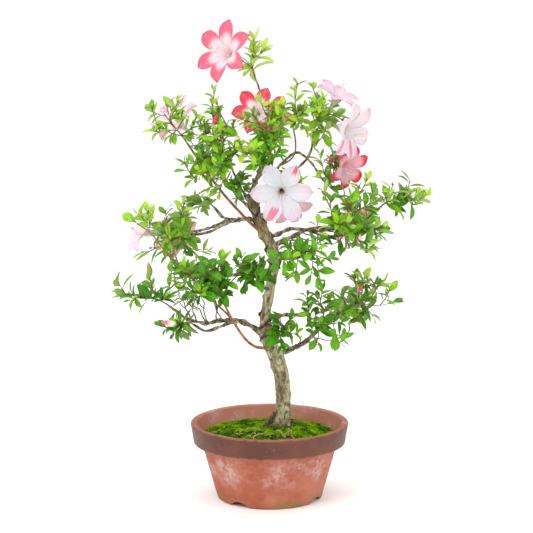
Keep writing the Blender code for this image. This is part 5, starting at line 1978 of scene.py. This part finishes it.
@dataclass
class Corolla:
    """One open bloom: lobes joined in a funnel, with its stamens, style and calyx.

    Attributes:
        bloom: Where it is, and its size and tint.
        seed: The chance that its ruffles are drawn from.
    """

    bloom: Bloom
    seed: int
    lobes: int = 6
    full_radius: float = 35.0 * MM
    full_depth: float = 29.0 * MM
    stamens: int = 6
    thread_radii: Pair = (0.30 * MM, 0.38 * MM)

    REACH = np.array([0.045, 0.075, 0.125, 0.235, 0.41, 0.59, 0.77, 0.91, 1.0])[:, None]
    HEIGHT = np.array([0.0, 0.34, 0.58, 0.76, 0.88, 0.96, 1.0, 0.99, 0.94])[:, None]
    HALF = np.array([0.0, 0.0, 0.0, 0.17, 0.222, 0.256, 0.234, 0.145, 0.008])[:, None]
    BREADTH = {Tint.WHITE: 1.12, Tint.PINK: 1.12, Tint.CORAL: 1.12, Tint.CRIMSON: 1.08}

    def petal(self, bm: bmesh.types.BMesh, lobe: int, slot: int, rng: random.Random) -> None:
        """Adds one lobe with its share of the funnel.

        Args:
            bm: The bloom's mesh.
            lobe: Which lobe it is.
            slot: Its material slot.
            rng: The bloom's chance.
        """
        before = set(bm.faces)
        grid = bmesh.ops.create_grid(bm, x_segments=8, y_segments=16, size=0.5, calc_uvs=True)
        turn = Matrix.Rotation(math.tau * lobe / self.lobes, 3, "Z")
        lift, skew, phase = rng.uniform(-0.05, 0.05), rng.uniform(-0.05, 0.05), rng.uniform(0, math.tau)
        stretch = rng.uniform(0.96, 1.03)
        for vert in grid["verts"]:
            vert.co = turn @ self.petal_point(vert.co.x * 2, vert.co.y + 0.5, lift, skew, phase, stretch)
        for face in set(bm.faces) - before:
            face.material_index = slot

    def petal_point(
        self, across: float, along: float, lift: float, skew: float, phase: float, stretch: float
    ) -> Vector:
        """A point of the petal that spreads over +X, with the bloom facing +Z.

        Args:
            across: From -1 to 1 across the petal.
            along: From 0 in the throat to 1 at the tip.
            lift: How far this lobe stands forward.
            skew: How far it swings aside.
            phase: Where its ruffle starts.
            stretch: Its length beside the others.

        Returns:
            The point.
        """
        radius, depth = self.full_radius * self.bloom.size, self.full_depth * self.bloom.size
        share = np.array([along])
        reach = float(smooth_rows(self.REACH, share)[0, 0])
        height = float(smooth_rows(self.HEIGHT, share)[0, 0])
        half = float(smooth_rows(self.HALF, share)[0, 0]) * self.BREADTH.get(self.bloom.tint, 1.0)
        free = ease(along, 0.40, 0.58)
        angle = math.pi / self.lobes * across
        x = reach * math.cos(angle) * (1 - free) + reach * free
        y = reach * math.sin(angle) * (1 - free) + across * half * free
        x += free * (stretch - 1) * reach
        y += skew * free * along
        x -= 0.05 * free * across * across
        channel = (0.10 * across * across - 0.03) * free
        ruffle = 0.035 * math.sin(across * 5.5 + phase) * ease(along, 0.5, 0.95) * abs(across)
        z = height * depth + (channel + lift * free + ruffle) * radius * 0.6
        return Vector((x * radius, y * radius, z))

    def frame(self) -> Matrix:
        """The bloom's own axes, facing along +Z, in the part's frame."""
        facing = Vector(self.bloom.facing).normalized()
        side, other = square_to(facing)
        return place_matrix(vec_mm(self.bloom.throat), side, other, facing)

    def stock(self) -> Stock:
        """The corolla in its own axes."""
        rng = random.Random(self.seed)
        bm = bmesh.new()
        bm.loops.layers.uv.verify()
        for lobe in range(self.lobes):
            self.petal(bm, lobe, lobe, rng)
        bmesh.ops.remove_doubles(bm, verts=bm.verts, dist=0.05 * MM)
        bmesh.ops.recalc_face_normals(bm, faces=bm.faces)
        return Stock.of(bm)

    def threads(self) -> Iterator[tuple[np.ndarray, float, bool]]:
        """The lines of the stamens and of the style, in the part's frame.

        Yields:
            Each line, its radius, and whether it is the style.
        """
        rng = random.Random(self.seed + 9)
        frame = self.frame()
        radius = self.full_radius * self.bloom.size
        up = frame.to_3x3().inverted() @ Vector((0, 0, 1))
        up = Vector((up.x, up.y, 0.0))
        up = up.normalized() if up.length > 0.2 else Vector((0.0, 1.0, 0.0))
        across = Vector((-up.y, up.x, 0.0))
        for k in range(self.stamens + 1):
            style = k == self.stamens
            fan = 0.03 if style else (k - 2.5) * 0.05 + rng.uniform(-0.04, 0.04)
            reach = 1.35 if style else rng.uniform(0.90, 1.15)
            hang = rng.uniform(0.7, 1.5)
            rows = []
            for t in np.linspace(0, 1, 9):
                ahead = 0.08 + reach * t
                droop = hang * (-0.24 * math.sin(t * math.pi * 0.62) + 0.20 * t**2.6) + rng.uniform(-0.008, 0.008)
                local = Vector((0, 0, ahead)) + up * droop + across * fan * t * (1.4 + 0.6 * t)
                rows.append(frame @ (local * radius))
            yield np.array([point[:] for point in rows]), self.thread_radii[style], style


@dataclass
class Flowers:
    """Every bloom of the plant."""

    tubes: TubeMaker

    def finishes(self) -> dict[str, PetalFinish]:
        """The petal finishes by name."""
        white = {"throat": (196, 206, 160), "body": (209, 205, 210), "edge": (218, 190, 204), "turn": 0.72}
        return {
            "rose": PetalFinish("petal_rose", body=(222, 201, 210), edge=(222, 98, 122), turn=0.60, spread=0.16),
            "coral": PetalFinish("petal_coral", body=(246, 226, 234), edge=(226, 74, 98), turn=0.58, spread=0.14),
            "crimson": PetalFinish("petal_crimson", body=(226, 176, 192), edge=(216, 48, 78), turn=0.72, spread=0.16),
            "blush": PetalFinish("petal_blush", body=(209, 194, 204), edge=(216, 170, 190), turn=0.62, spread=0.4),
            "pale_pink": PetalFinish("petal_pale", body=(240, 228, 234), edge=(240, 194, 210), turn=0.66, spread=0.4,
                                     sector=(0.36, 0.64), stripe=(224, 150, 174), sector_from=0.5),
            "faint": PetalFinish("petal_faint", body=(224, 214, 220), edge=(226, 202, 214), turn=0.5, spread=0.5),
            "white": PetalFinish("petal_white", spread=0.4, **white),
            "pink": PetalFinish("petal_pink", body=(240, 222, 230), edge=(236, 188, 204), turn=0.6, spread=0.4),
            "white_tip": PetalFinish("petal_white_tip", spread=0.4, stripe=(224, 66, 94), sector=(0.26, 0.56),
                                     sector_from=0.66, **white),
            "white_half": PetalFinish("petal_white_half", spread=0.4, stripe=(218, 124, 146), sector=(0.36, 0.84),
                                      sector_from=0.50, **white),
            "white_line": PetalFinish("petal_white_line", spread=0.4, stripe=(222, 128, 150), sector=(0.40, 0.72),
                                      sector_from=0.40, **white),
        }

    def kinds_for(self, bloom: Bloom) -> list[str]:
        """The finish of each lobe of a bloom."""
        return [bloom.marks.get(lobe, bloom.tint.value) for lobe in range(Corolla.lobes)]

    def build(self) -> None:
        """Makes the petals, the threads and the cups behind them."""
        finishes = self.finishes()
        names = list(finishes)
        petals = Bundle("petals")
        threads, anthers, cups = Bundle("filaments"), Bundle("anthers"), Bundle("calyces")
        anther, cup = self.anther(), self.cup()
        for index, bloom in enumerate(BLOOMS):
            corolla = Corolla(bloom, 40 + index)
            stock = corolla.stock()
            lookup = np.array([names.index(kind) for kind in self.kinds_for(bloom)])
            roll = Matrix.Rotation(math.radians(bloom.roll), 4, "Z")
            tinted = Stock(stock.points, stock.corners, stock.starts, stock.uv, lookup[stock.slots])
            petals.add(tinted, tinted.moved(corolla.frame() @ roll))
            for line, radius, style in corolla.threads():
                taper = np.linspace(1.15, 0.85, len(line)) * radius
                self.tubes.lay(threads, line, taper, 5)
                end, before = Vector(line[-1]), Vector(line[-2])
                way = (end - before).normalized()
                side, face = square_to(way)
                size = (1.5 if style else 1.9) * MM
                matrix = place_matrix(end - way * size * 0.2, way, side, face) @ Matrix.Scale(size, 4)
                anthers.add(anther, anther.moved(matrix), 1 if style else 0)
            cups.add(cup, cup.moved(corolla.frame() @ Matrix.Scale(bloom.size, 4)))
        piece = petals.piece(list(finishes.values()), sharp_deg=80.0)
        wall = piece.modifiers.new("wall", "SOLIDIFY")
        wall.thickness = 0.35 * MM
        wall.offset = 0.0
        thread = TwoToneFinish("thread", foot=(236, 232, 230), tip=(236, 214, 216), turn=0.6)
        threads.piece([thread])
        tan = TwoToneFinish("anther_tan", foot=(160, 112, 66), tip=(196, 158, 100))
        rosy = TwoToneFinish("stigma", foot=(206, 62, 84), tip=(206, 62, 84))
        anthers.piece([tan, rosy])
        green = TwoToneFinish("calyx", foot=(108, 140, 52), tip=(150, 178, 84))
        cups.piece([green])

    @staticmethod
    def anther() -> Stock:
        """An anther: two small lobes in one grain, one unit long, along X."""
        bm = ball(8, 6)
        for vert in bm.verts:
            waist = 1.0 - 0.25 * math.exp(-((vert.co.y / 0.14) ** 2))
            vert.co = (vert.co.x, vert.co.y * 0.62, vert.co.z * 0.5 * waist)
        return Stock.of(bm)

    @staticmethod
    def cup() -> Stock:
        """The calyx behind a bloom of full size, in the bloom's own axes, with its short stalk."""
        bm = ball(10, 8, radius=1.0)
        for vert in bm.verts:
            t = (vert.co.z + 1) / 2
            wide = 1.1 + 1.6 * t**1.5 if t < 0.98 else 0.6
            vert.co = Vector((vert.co.x * wide, vert.co.y * wide, -8.5 + 10.5 * t)) * MM
        return Stock.of(bm)


@dataclass(frozen=True)
class Bud:
    """A closed bud: its place in millimetres, the way it points, its length and its colours."""

    place: Triple
    way: Triple
    length: float
    finish: str


@dataclass
class Buds:
    """The closed buds, each at the end of a stalk from the nearest twig."""

    tubes: TubeMaker

    PLACES = (
        Bud((-103, -52, 210), (-0.95, -0.2, 0.2), 18.0, "bud_pink"),
        Bud((-134, -16, 258), (-0.12, -0.1, 1.0), 17.0, "bud_green"),
        Bud((99, -32, 244), (0.5, -0.5, 0.8), 10.0, "bud_rose"),
        Bud((47, -66, 220), (0.1, -0.6, 0.75), 11.0, "bud_pale"),
        Bud((-62, -26, 428), (0.3, -0.3, 0.9), 15.0, "bud_rose"),
        Bud((158, -6, 346), (0.6, -0.2, 0.8), 9.0, "bud_pale"),
        Bud((70, 0, 384), (-0.2, -0.5, 0.9), 12.0, "bud_rose"),
        Bud((-92, 64, 306), (-0.3, 0.6, 0.8), 12.0, "bud_rose"),
        Bud((94, 80, 212), (0.3, 0.8, 0.3), 13.0, "bud_pink"),
    )

    def stock(self) -> Stock:
        """A bud one unit long along +Y: pointed, with petals wound round it."""
        bm = ball(20, 14, laid=True)
        for vert in bm.verts:
            t = min(1.0, max(0.0, vert.co.y + 0.5))
            angle = math.atan2(vert.co.z, vert.co.x)
            wide = 0.19 * math.sin(math.pi * t**0.72) ** 0.8 if 0 < t < 1 else 0.0
            wound = 1.0 + 0.10 * abs(math.sin(1.5 * angle + 3.4 * t))
            vert.co = (math.cos(angle) * wide * wound, t, math.sin(angle) * wide * wound)
        bmesh.ops.remove_doubles(bm, verts=bm.verts, dist=1e-5)
        bmesh.ops.recalc_face_normals(bm, faces=bm.faces)
        return Stock.of(bm)

    def build(self, joints: list[Vector]) -> None:
        """Makes the buds and their stalks.

        Args:
            joints: Places on the twigs, the nearest of which carries each bud.
        """
        stock = self.stock()
        finishes = {
            "bud_pink": TwoToneFinish("bud_pink", foot=(240, 236, 214), tip=(236, 96, 128), turn=0.5, dull=0.5),
            "bud_green": TwoToneFinish("bud_green", foot=(128, 156, 62), tip=(186, 140, 84), turn=0.6, dull=0.5),
            "bud_rose": TwoToneFinish("bud_rose", foot=(228, 104, 128), tip=(214, 48, 92), turn=0.3, dull=0.5),
            "bud_pale": TwoToneFinish("bud_pale", foot=(206, 220, 160), tip=(248, 240, 240), turn=0.3, dull=0.5),
        }
        names = list(finishes)
        buds, stalks = Bundle("buds"), Bundle("bud_stalks")
        for bud in self.PLACES:
            place, way = vec_mm(bud.place), Vector(bud.way).normalized()
            start = min(joints, key=lambda joint: (joint - place).length)
            bend = place - way * (place - start).length * 0.45
            line = np.array([point[:] for point in Skeleton.arc(start, bend, place + way * MM, 6)])
            self.tubes.lay(stalks, line, np.linspace(0.7, 0.55, len(line)) * MM, 5)
            side, face = square_to(way)
            matrix = place_matrix(place, side, way, face) @ Matrix.Scale(bud.length * MM, 4)
            buds.add(stock, stock.moved(matrix), names.index(bud.finish))
        buds.piece(list(finishes.values()))
        stalks.piece([TwoToneFinish("stalk", foot=(130, 82, 50), tip=(140, 150, 70))])


# ================================================================ pot and moss


@dataclass
class Pot:
    """The turned clay pot: a banded rim, sloping sides, and a foot ring with four arched notches."""

    height: float = 87.0 * MM
    rim_radius: float = 90.3 * MM
    rim_inner: float = 83.2 * MM
    band_height: float = 23.0 * MM
    band_lower: float = 87.0 * MM
    shoulder: float = 77.8 * MM
    foot_radius: float = 60.0 * MM
    ring_width: float = 10.0 * MM
    recess: float = 5.5 * MM
    floor: float = 5.0 * MM
    floor_radius: float = 51.5 * MM
    drain: float = 11.0 * MM
    lip: float = 1.6 * MM
    notch_width: float = 27.0 * MM
    notch_height: float = 6.0 * MM
    notch_azimuths: tuple[float, ...] = (-124.0, -29.0, 58.0, 148.0)
    ring_depth: float = 0.14
    dent_depth: float = 0.5
    chip_depth: float = 2.2
    wall_low: Pair = (76.4 * MM, 71.0 * MM)
    knee: Pair = (70.0 * MM, 60.0 * MM)
    steps: int = 160

    @staticmethod
    def rounded(corner: Pair, before: Pair, after: Pair, size: float) -> list[Pair]:
        """A corner of the section cut to a small round, between the corners before and after it."""
        here = Vector(corner)
        first = here + (Vector(before) - here).normalized() * size
        last = here + (Vector(after) - here).normalized() * size
        return [tuple(first * (1 - t) ** 2 + here * 2 * t * (1 - t) + last * t * t) for t in (0, 0.25, 0.5, 0.75, 1)]

    def section(self) -> list[Pair]:
        """The pot's closed section as (radius, height) points, down its outer side and up inside."""
        low = self.height - self.band_height
        corners = [
            ((self.rim_inner, self.height), self.lip * 1.4),
            ((self.rim_radius, self.height), self.lip),
            ((self.band_lower, low), self.lip * 0.8),
            ((self.shoulder + 0.6 * MM, low + 0.4 * MM), self.lip * 0.5),
            ((self.foot_radius, 0.0), self.lip * 0.9),
            ((self.foot_radius - self.ring_width, 0.0), self.lip * 0.6),
            ((self.foot_radius - self.ring_width - self.lip, self.recess), 0.4 * MM),
            ((self.drain, self.recess), 0.5 * MM),
            ((self.drain, self.recess + self.floor), 0.5 * MM),
            ((self.floor_radius, self.recess + self.floor), 0.4 * MM),
            (self.knee, 0.4 * MM),
            (self.wall_low, 0.4 * MM),
        ]
        points = []
        for k, (corner, size) in enumerate(corners):
            before, after = corners[k - 1][0], corners[(k + 1) % len(corners)][0]
            points += self.rounded(corner, before, after, size)
            run = Vector(after) - Vector(corner)
            count = int(run.length / (3.0 * MM))
            points += [tuple(Vector(corner) + run * (j / count)) for j in range(1, count) if 0.1 < j / count < 0.9]
        return points

    def build(self) -> None:
        """Turns the pot, cuts its notches and gives it the slight faults of handwork."""
        bm = turned(self.section(), self.steps, closed=True)
        bmesh.ops.recalc_face_normals(bm, faces=bm.faces)
        obj = bpy.data.objects.new("pot_raw", mesh_of("pot_raw", bm))
        bpy.context.scene.collection.objects.link(obj)
        cutters = [self.cutter(azimuth) for azimuth in self.notch_azimuths]
        for cutter in cutters:
            cut = obj.modifiers.new("notch", "BOOLEAN")
            cut.operation, cut.solver, cut.object = "DIFFERENCE", "MANIFOLD", cutter
        bpy.context.view_layer.update()
        mesh = bpy.data.meshes.new_from_object(obj.evaluated_get(bpy.context.evaluated_depsgraph_get()))
        for scrap in [obj, *cutters]:
            bpy.data.objects.remove(scrap)
        mesh.materials.clear()
        self.work_by_hand(mesh)
        piece = piece_of("pot_clay", mesh, [ClayFinish("clay"), BandFinish("rim_slip")], ["pot"], 38.0)
        low = self.height - self.band_height
        for face in piece.data.polygons:
            x, y, z = face.center
            out = math.hypot(x, y)
            line = self.rim_radius - (self.height - z) * (self.rim_radius - self.band_lower) / self.band_height
            face.material_index = 1 if z > low - 0.2 * MM and out > line - 1.3 * MM else 0

    def cutter(self, azimuth_deg: float) -> bpy.types.Object:
        """A level cylinder that leaves one arched notch in the foot ring."""
        radius = ((self.notch_width / 2) ** 2 + self.notch_height**2) / (2 * self.notch_height)
        bm = bmesh.new()
        bmesh.ops.create_cone(bm, cap_ends=True, segments=72, radius1=radius, radius2=radius, depth=self.foot_radius)
        angle = math.radians(azimuth_deg)
        reach = self.foot_radius * 0.95
        place = Vector((reach * math.cos(angle), reach * math.sin(angle), self.notch_height - radius))
        turn = Matrix.Rotation(angle, 4, "Z") @ Matrix.Rotation(math.pi / 2, 4, "Y")
        bmesh.ops.transform(bm, verts=bm.verts, matrix=Matrix.Translation(place) @ turn)
        obj = bpy.data.objects.new("notch_cutter", mesh_of("notch_cutter", bm))
        bpy.context.scene.collection.objects.link(obj)
        return obj

    def work_by_hand(self, mesh: bpy.types.Mesh) -> None:
        """Moves the surface by fractions of a millimetre: turning rings, dents and an uneven rim."""
        bm = bmesh.new()
        bm.from_mesh(mesh)
        for vert in bm.verts:
            flat = Vector((vert.co.x, vert.co.y, 0.0))
            out = flat.normalized()
            if vert.co.z > 1.0 * MM:
                ring = self.ring_depth * math.sin(vert.co.z * 1500) * ease(flat.length, 55 * MM, 60 * MM)
                dent = noise.noise(Vector((out.x * 2.5, out.y * 2.5, vert.co.z * 30))) * self.dent_depth
                chip = -self.chip_depth * max(0.0, noise.noise(vert.co * 130) - 0.42)
                edge = ease(vert.co.z, 83 * MM, 86 * MM)
                vert.co += out * (ring + dent) * MM + Vector((0, 0, chip * edge * MM))
        bm.to_mesh(mesh)
        bm.free()


@dataclass
class Moss:
    """The mound of moss on the soil: its ground, its tufts, and the grit between them."""

    top: float = 79.0 * MM
    edge: float = 72.0 * MM
    under: float = 64.0 * MM
    level_radius: float = 46.0 * MM
    edge_radius: float = 77.4 * MM
    trunk_at: Pair = (12.5 * MM, 8.0 * MM)
    rings: int = 60
    steps: int = 150
    tufts: int = 26000
    tuft_heights: Pair = (1.0, 2.3)
    tuft_widths: Pair = (0.5, 0.9)
    stones: int = 900
    stone_sizes: Pair = (0.7, 2.2)
    seed: int = 5

    def from_trunk(self, x: float, y: float) -> float:
        """How far a place is from the trunk's middle."""
        return math.hypot(x - self.trunk_at[0], y - self.trunk_at[1])

    def level(self, x: float, y: float) -> float:
        """The height of the moss at a place."""
        out = math.hypot(x, y)
        fall = (self.top - self.edge) * ease(out, self.level_radius * 0.8, self.edge_radius)
        lumps = noise.fractal(Vector((x * 75, y * 75, 3.0)), 0.9, 2.0, 3) * 2.1 * MM
        rim = ease(out, self.edge_radius, self.edge_radius - 8 * MM)
        mound = 2.6 * MM * (1 - ease(self.from_trunk(x, y), 10 * MM, 58 * MM))
        return self.top - fall + lumps * rim + mound - 0.4 * MM

    def bare(self, x: float, y: float) -> float:
        """How bare the ground is at a place, from 0 in thick moss."""
        patch = noise.fractal(Vector((x * 62, y * 62, 11.0)), 0.8, 2.0, 4)
        return patch + 0.45 * (1 - ease(self.from_trunk(x, y), 12 * MM, 26 * MM))

    def scattered(self, rng: random.Random, reach: float) -> Pair:
        """A place drawn evenly from the round of the moss, out to a share of its radius."""
        out = self.edge_radius * math.sqrt(rng.random()) * reach
        angle = rng.uniform(0, math.tau)
        return out * math.cos(angle), out * math.sin(angle)

    def build(self) -> None:
        """Builds the ground, the tufts and the grit."""
        profile = [(self.edge_radius * k / self.rings, self.top) for k in range(self.rings + 1)]
        profile += [(self.edge_radius - 3.2 * MM, self.under), (0.0, self.under)]
        bm = turned(profile, self.steps, closed=False)
        for vert in bm.verts:
            if vert.co.z > self.under + MM:
                vert.co.z = self.level(vert.co.x, vert.co.y)
        bmesh.ops.recalc_face_normals(bm, faces=bm.faces)
        piece_of("moss_ground", mesh_of("moss_ground", bm), [GroundFinish("moss_soil")], ["moss"], 80.0)
        self.build_tufts()
        self.build_grit()

    def build_tufts(self) -> None:
        """Sets the tufts: small leaning spires, thick on the cushions and missing from bare ground."""
        rng = random.Random(self.seed)
        bm = bmesh.new()
        bm.loops.layers.uv.verify()
        bmesh.ops.create_cone(bm, cap_ends=True, segments=3, radius1=0.5, radius2=0.0, depth=1.0, calc_uvs=True)
        bmesh.ops.translate(bm, verts=bm.verts, vec=(0, 0, 0.5))
        stock = Stock.of(bm)
        bundle = Bundle("moss_tufts")
        for _ in range(self.tufts):
            x, y = self.scattered(rng, 0.992)
            if self.bare(x, y) > 0.20 + rng.gauss(0, 0.06):
                continue
            lean = Vector((rng.gauss(0, 0.4), rng.gauss(0, 0.4), 1.0)).normalized()
            side, other = square_to(lean)
            tall, wide = rng.uniform(*self.tuft_heights) * MM, rng.uniform(*self.tuft_widths) * MM
            size = Matrix.Diagonal((wide, wide, tall, 1.0))
            place = Vector((x, y, self.level(x, y) - 0.3 * MM))
            matrix = place_matrix(place, side, other, lean) @ size
            fresh = noise.fractal(Vector((x * 55, y * 55, 21.0)), 0.8, 2.0, 3) + rng.gauss(0, 0.16)
            bundle.add(stock, stock.moved(matrix), 0 if fresh > 0.08 else (1 if fresh > -0.22 else 2))
        finishes = [
            MossFinish("moss_bright", green=(156, 206, 2)),
            MossFinish("moss_green", green=(112, 176, 2)),
            MossFinish("moss_deep", green=(62, 108, 2)),
        ]
        bundle.piece(finishes, ["moss"], "moss", 180.0)

    def build_grit(self) -> None:
        """Scatters crumbs of soil and pale grit over the bare ground."""
        rng = random.Random(self.seed + 1)
        bm = bmesh.new()
        bm.loops.layers.uv.verify()
        bmesh.ops.create_icosphere(bm, subdivisions=1, radius=0.5, calc_uvs=True)
        for vert in bm.verts:
            vert.co *= 1.0 + 0.3 * noise.noise(vert.co * 4)
        stock = Stock.of(bm)
        bundle = Bundle("grit")
        for _ in range(self.stones):
            x, y = self.scattered(rng, 0.97)
            if self.bare(x, y) < 0.12:
                continue
            size = rng.uniform(*self.stone_sizes) * MM
            turn = Matrix.Rotation(rng.uniform(0, math.tau), 4, Vector((rng.random(), rng.random(), 0.4)).normalized())
            squash = Matrix.Diagonal((size, size * 0.8, size * 0.6, 1.0))
            matrix = Matrix.Translation((x, y, self.level(x, y))) @ turn @ squash
            bundle.add(stock, stock.moved(matrix), 0 if rng.random() < 0.75 else 1)
        crumbs = TwoToneFinish("crumb", foot=(70, 50, 34), tip=(96, 70, 46), dull=0.95)
        pale = TwoToneFinish("pale_grit", foot=(170, 146, 112), tip=(190, 170, 136), dull=0.9)
        bundle.piece([crumbs, pale], ["moss"], "moss", 180.0)


# ================================================================ stage


@dataclass
class Studio:
    """A plain pale floor, soft light all round, and the camera."""

    camera_place: Triple = EYE
    pitch_deg: float = 9.0
    lens: float = 120.9
    floor_size: float = 60.0

    def build(self) -> None:
        """Sets up the floor, the lights, the surroundings and the camera."""
        scene = bpy.context.scene
        scene.view_settings.view_transform = "Standard"
        scene.view_settings.look = "None"
        world = bpy.data.worlds.new("soft_surroundings")
        world.use_nodes = True
        back = world.node_tree.nodes["Background"]
        back.inputs["Color"].default_value = (1.0, 1.0, 1.0, 1.0)
        back.inputs["Strength"].default_value = 1.06
        scene.world = world
        bm = bmesh.new()
        bmesh.ops.create_grid(bm, x_segments=1, y_segments=1, size=self.floor_size / 2)
        floor = bpy.data.objects.new("floor", mesh_of("floor", bm))
        floor.location.z = -0.2 * MM
        scene.collection.objects.link(floor)
        pale = bpy.data.materials.new("pale_floor")
        pale.use_nodes = True
        shader = pale.node_tree.nodes["Principled BSDF"]
        shader.inputs["Base Color"].default_value = (0.97, 0.97, 0.97, 1.0)
        shader.inputs["Roughness"].default_value = 0.9
        floor.data.materials.append(pale)
        floor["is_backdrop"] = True
        self.light("key", (-1.3, -1.7, 2.2), 1.4, 34.0)
        self.light("fill", (1.7, -1.4, 1.3), 1.6, 12.0)
        self.light("top", (0.2, 0.5, 2.6), 1.6, 16.0)
        lens = bpy.data.cameras.new("camera")
        lens.lens = self.lens
        lens.sensor_width = 36.0
        lens.dof.use_dof = False
        camera = bpy.data.objects.new("camera", lens)
        camera.location = self.camera_place
        camera.rotation_euler = (math.radians(90.0 - self.pitch_deg), 0.0, 0.0)
        scene.collection.objects.link(camera)
        scene.camera = camera

    def light(self, name: str, place: Triple, size: float, power: float) -> None:
        """Hangs a soft square lamp that points at the plant."""
        lamp = bpy.data.lights.new(name, "AREA")
        lamp.energy = power
        lamp.size = size
        obj = bpy.data.objects.new(name, lamp)
        obj.location = place
        aim = Vector((0.0, 0.0, 0.27)) - Vector(place)
        obj.rotation_euler = aim.to_track_quat("-Z", "Y").to_euler()
        bpy.context.scene.collection.objects.link(obj)


@dataclass
class Soil:
    """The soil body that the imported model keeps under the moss."""

    finish: GroundFinish = GroundFinish("soil", film=(74, 56, 34))

    def dress(self) -> None:
        """Gives the packed soil its finish."""
        for slot in frame["nodes"]["earth"].material_slots:
            slot.material = self.finish.material()


def main() -> None:
    """Builds the stage and every piece of the plant in order."""
    logging.basicConfig(level=logging.INFO, format="%(name)s: %(message)s")
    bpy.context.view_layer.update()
    Studio().build()
    room = Room()
    skeleton = Skeleton(room)
    tubes = TubeMaker()
    Pot().build()
    Soil().dress()
    Moss().build()
    wood = Wood(skeleton, tubes)
    wood.build_trunk()
    wood.build_boughs()
    Foliage(skeleton, tubes, room).build()
    Flowers(tubes).build()
    Buds(tubes).build(skeleton.all_joints())
    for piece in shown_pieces():
        log.info("%s: %d faces", piece.name, len(piece.data.polygons))


if __name__ == "__main__":
    main()
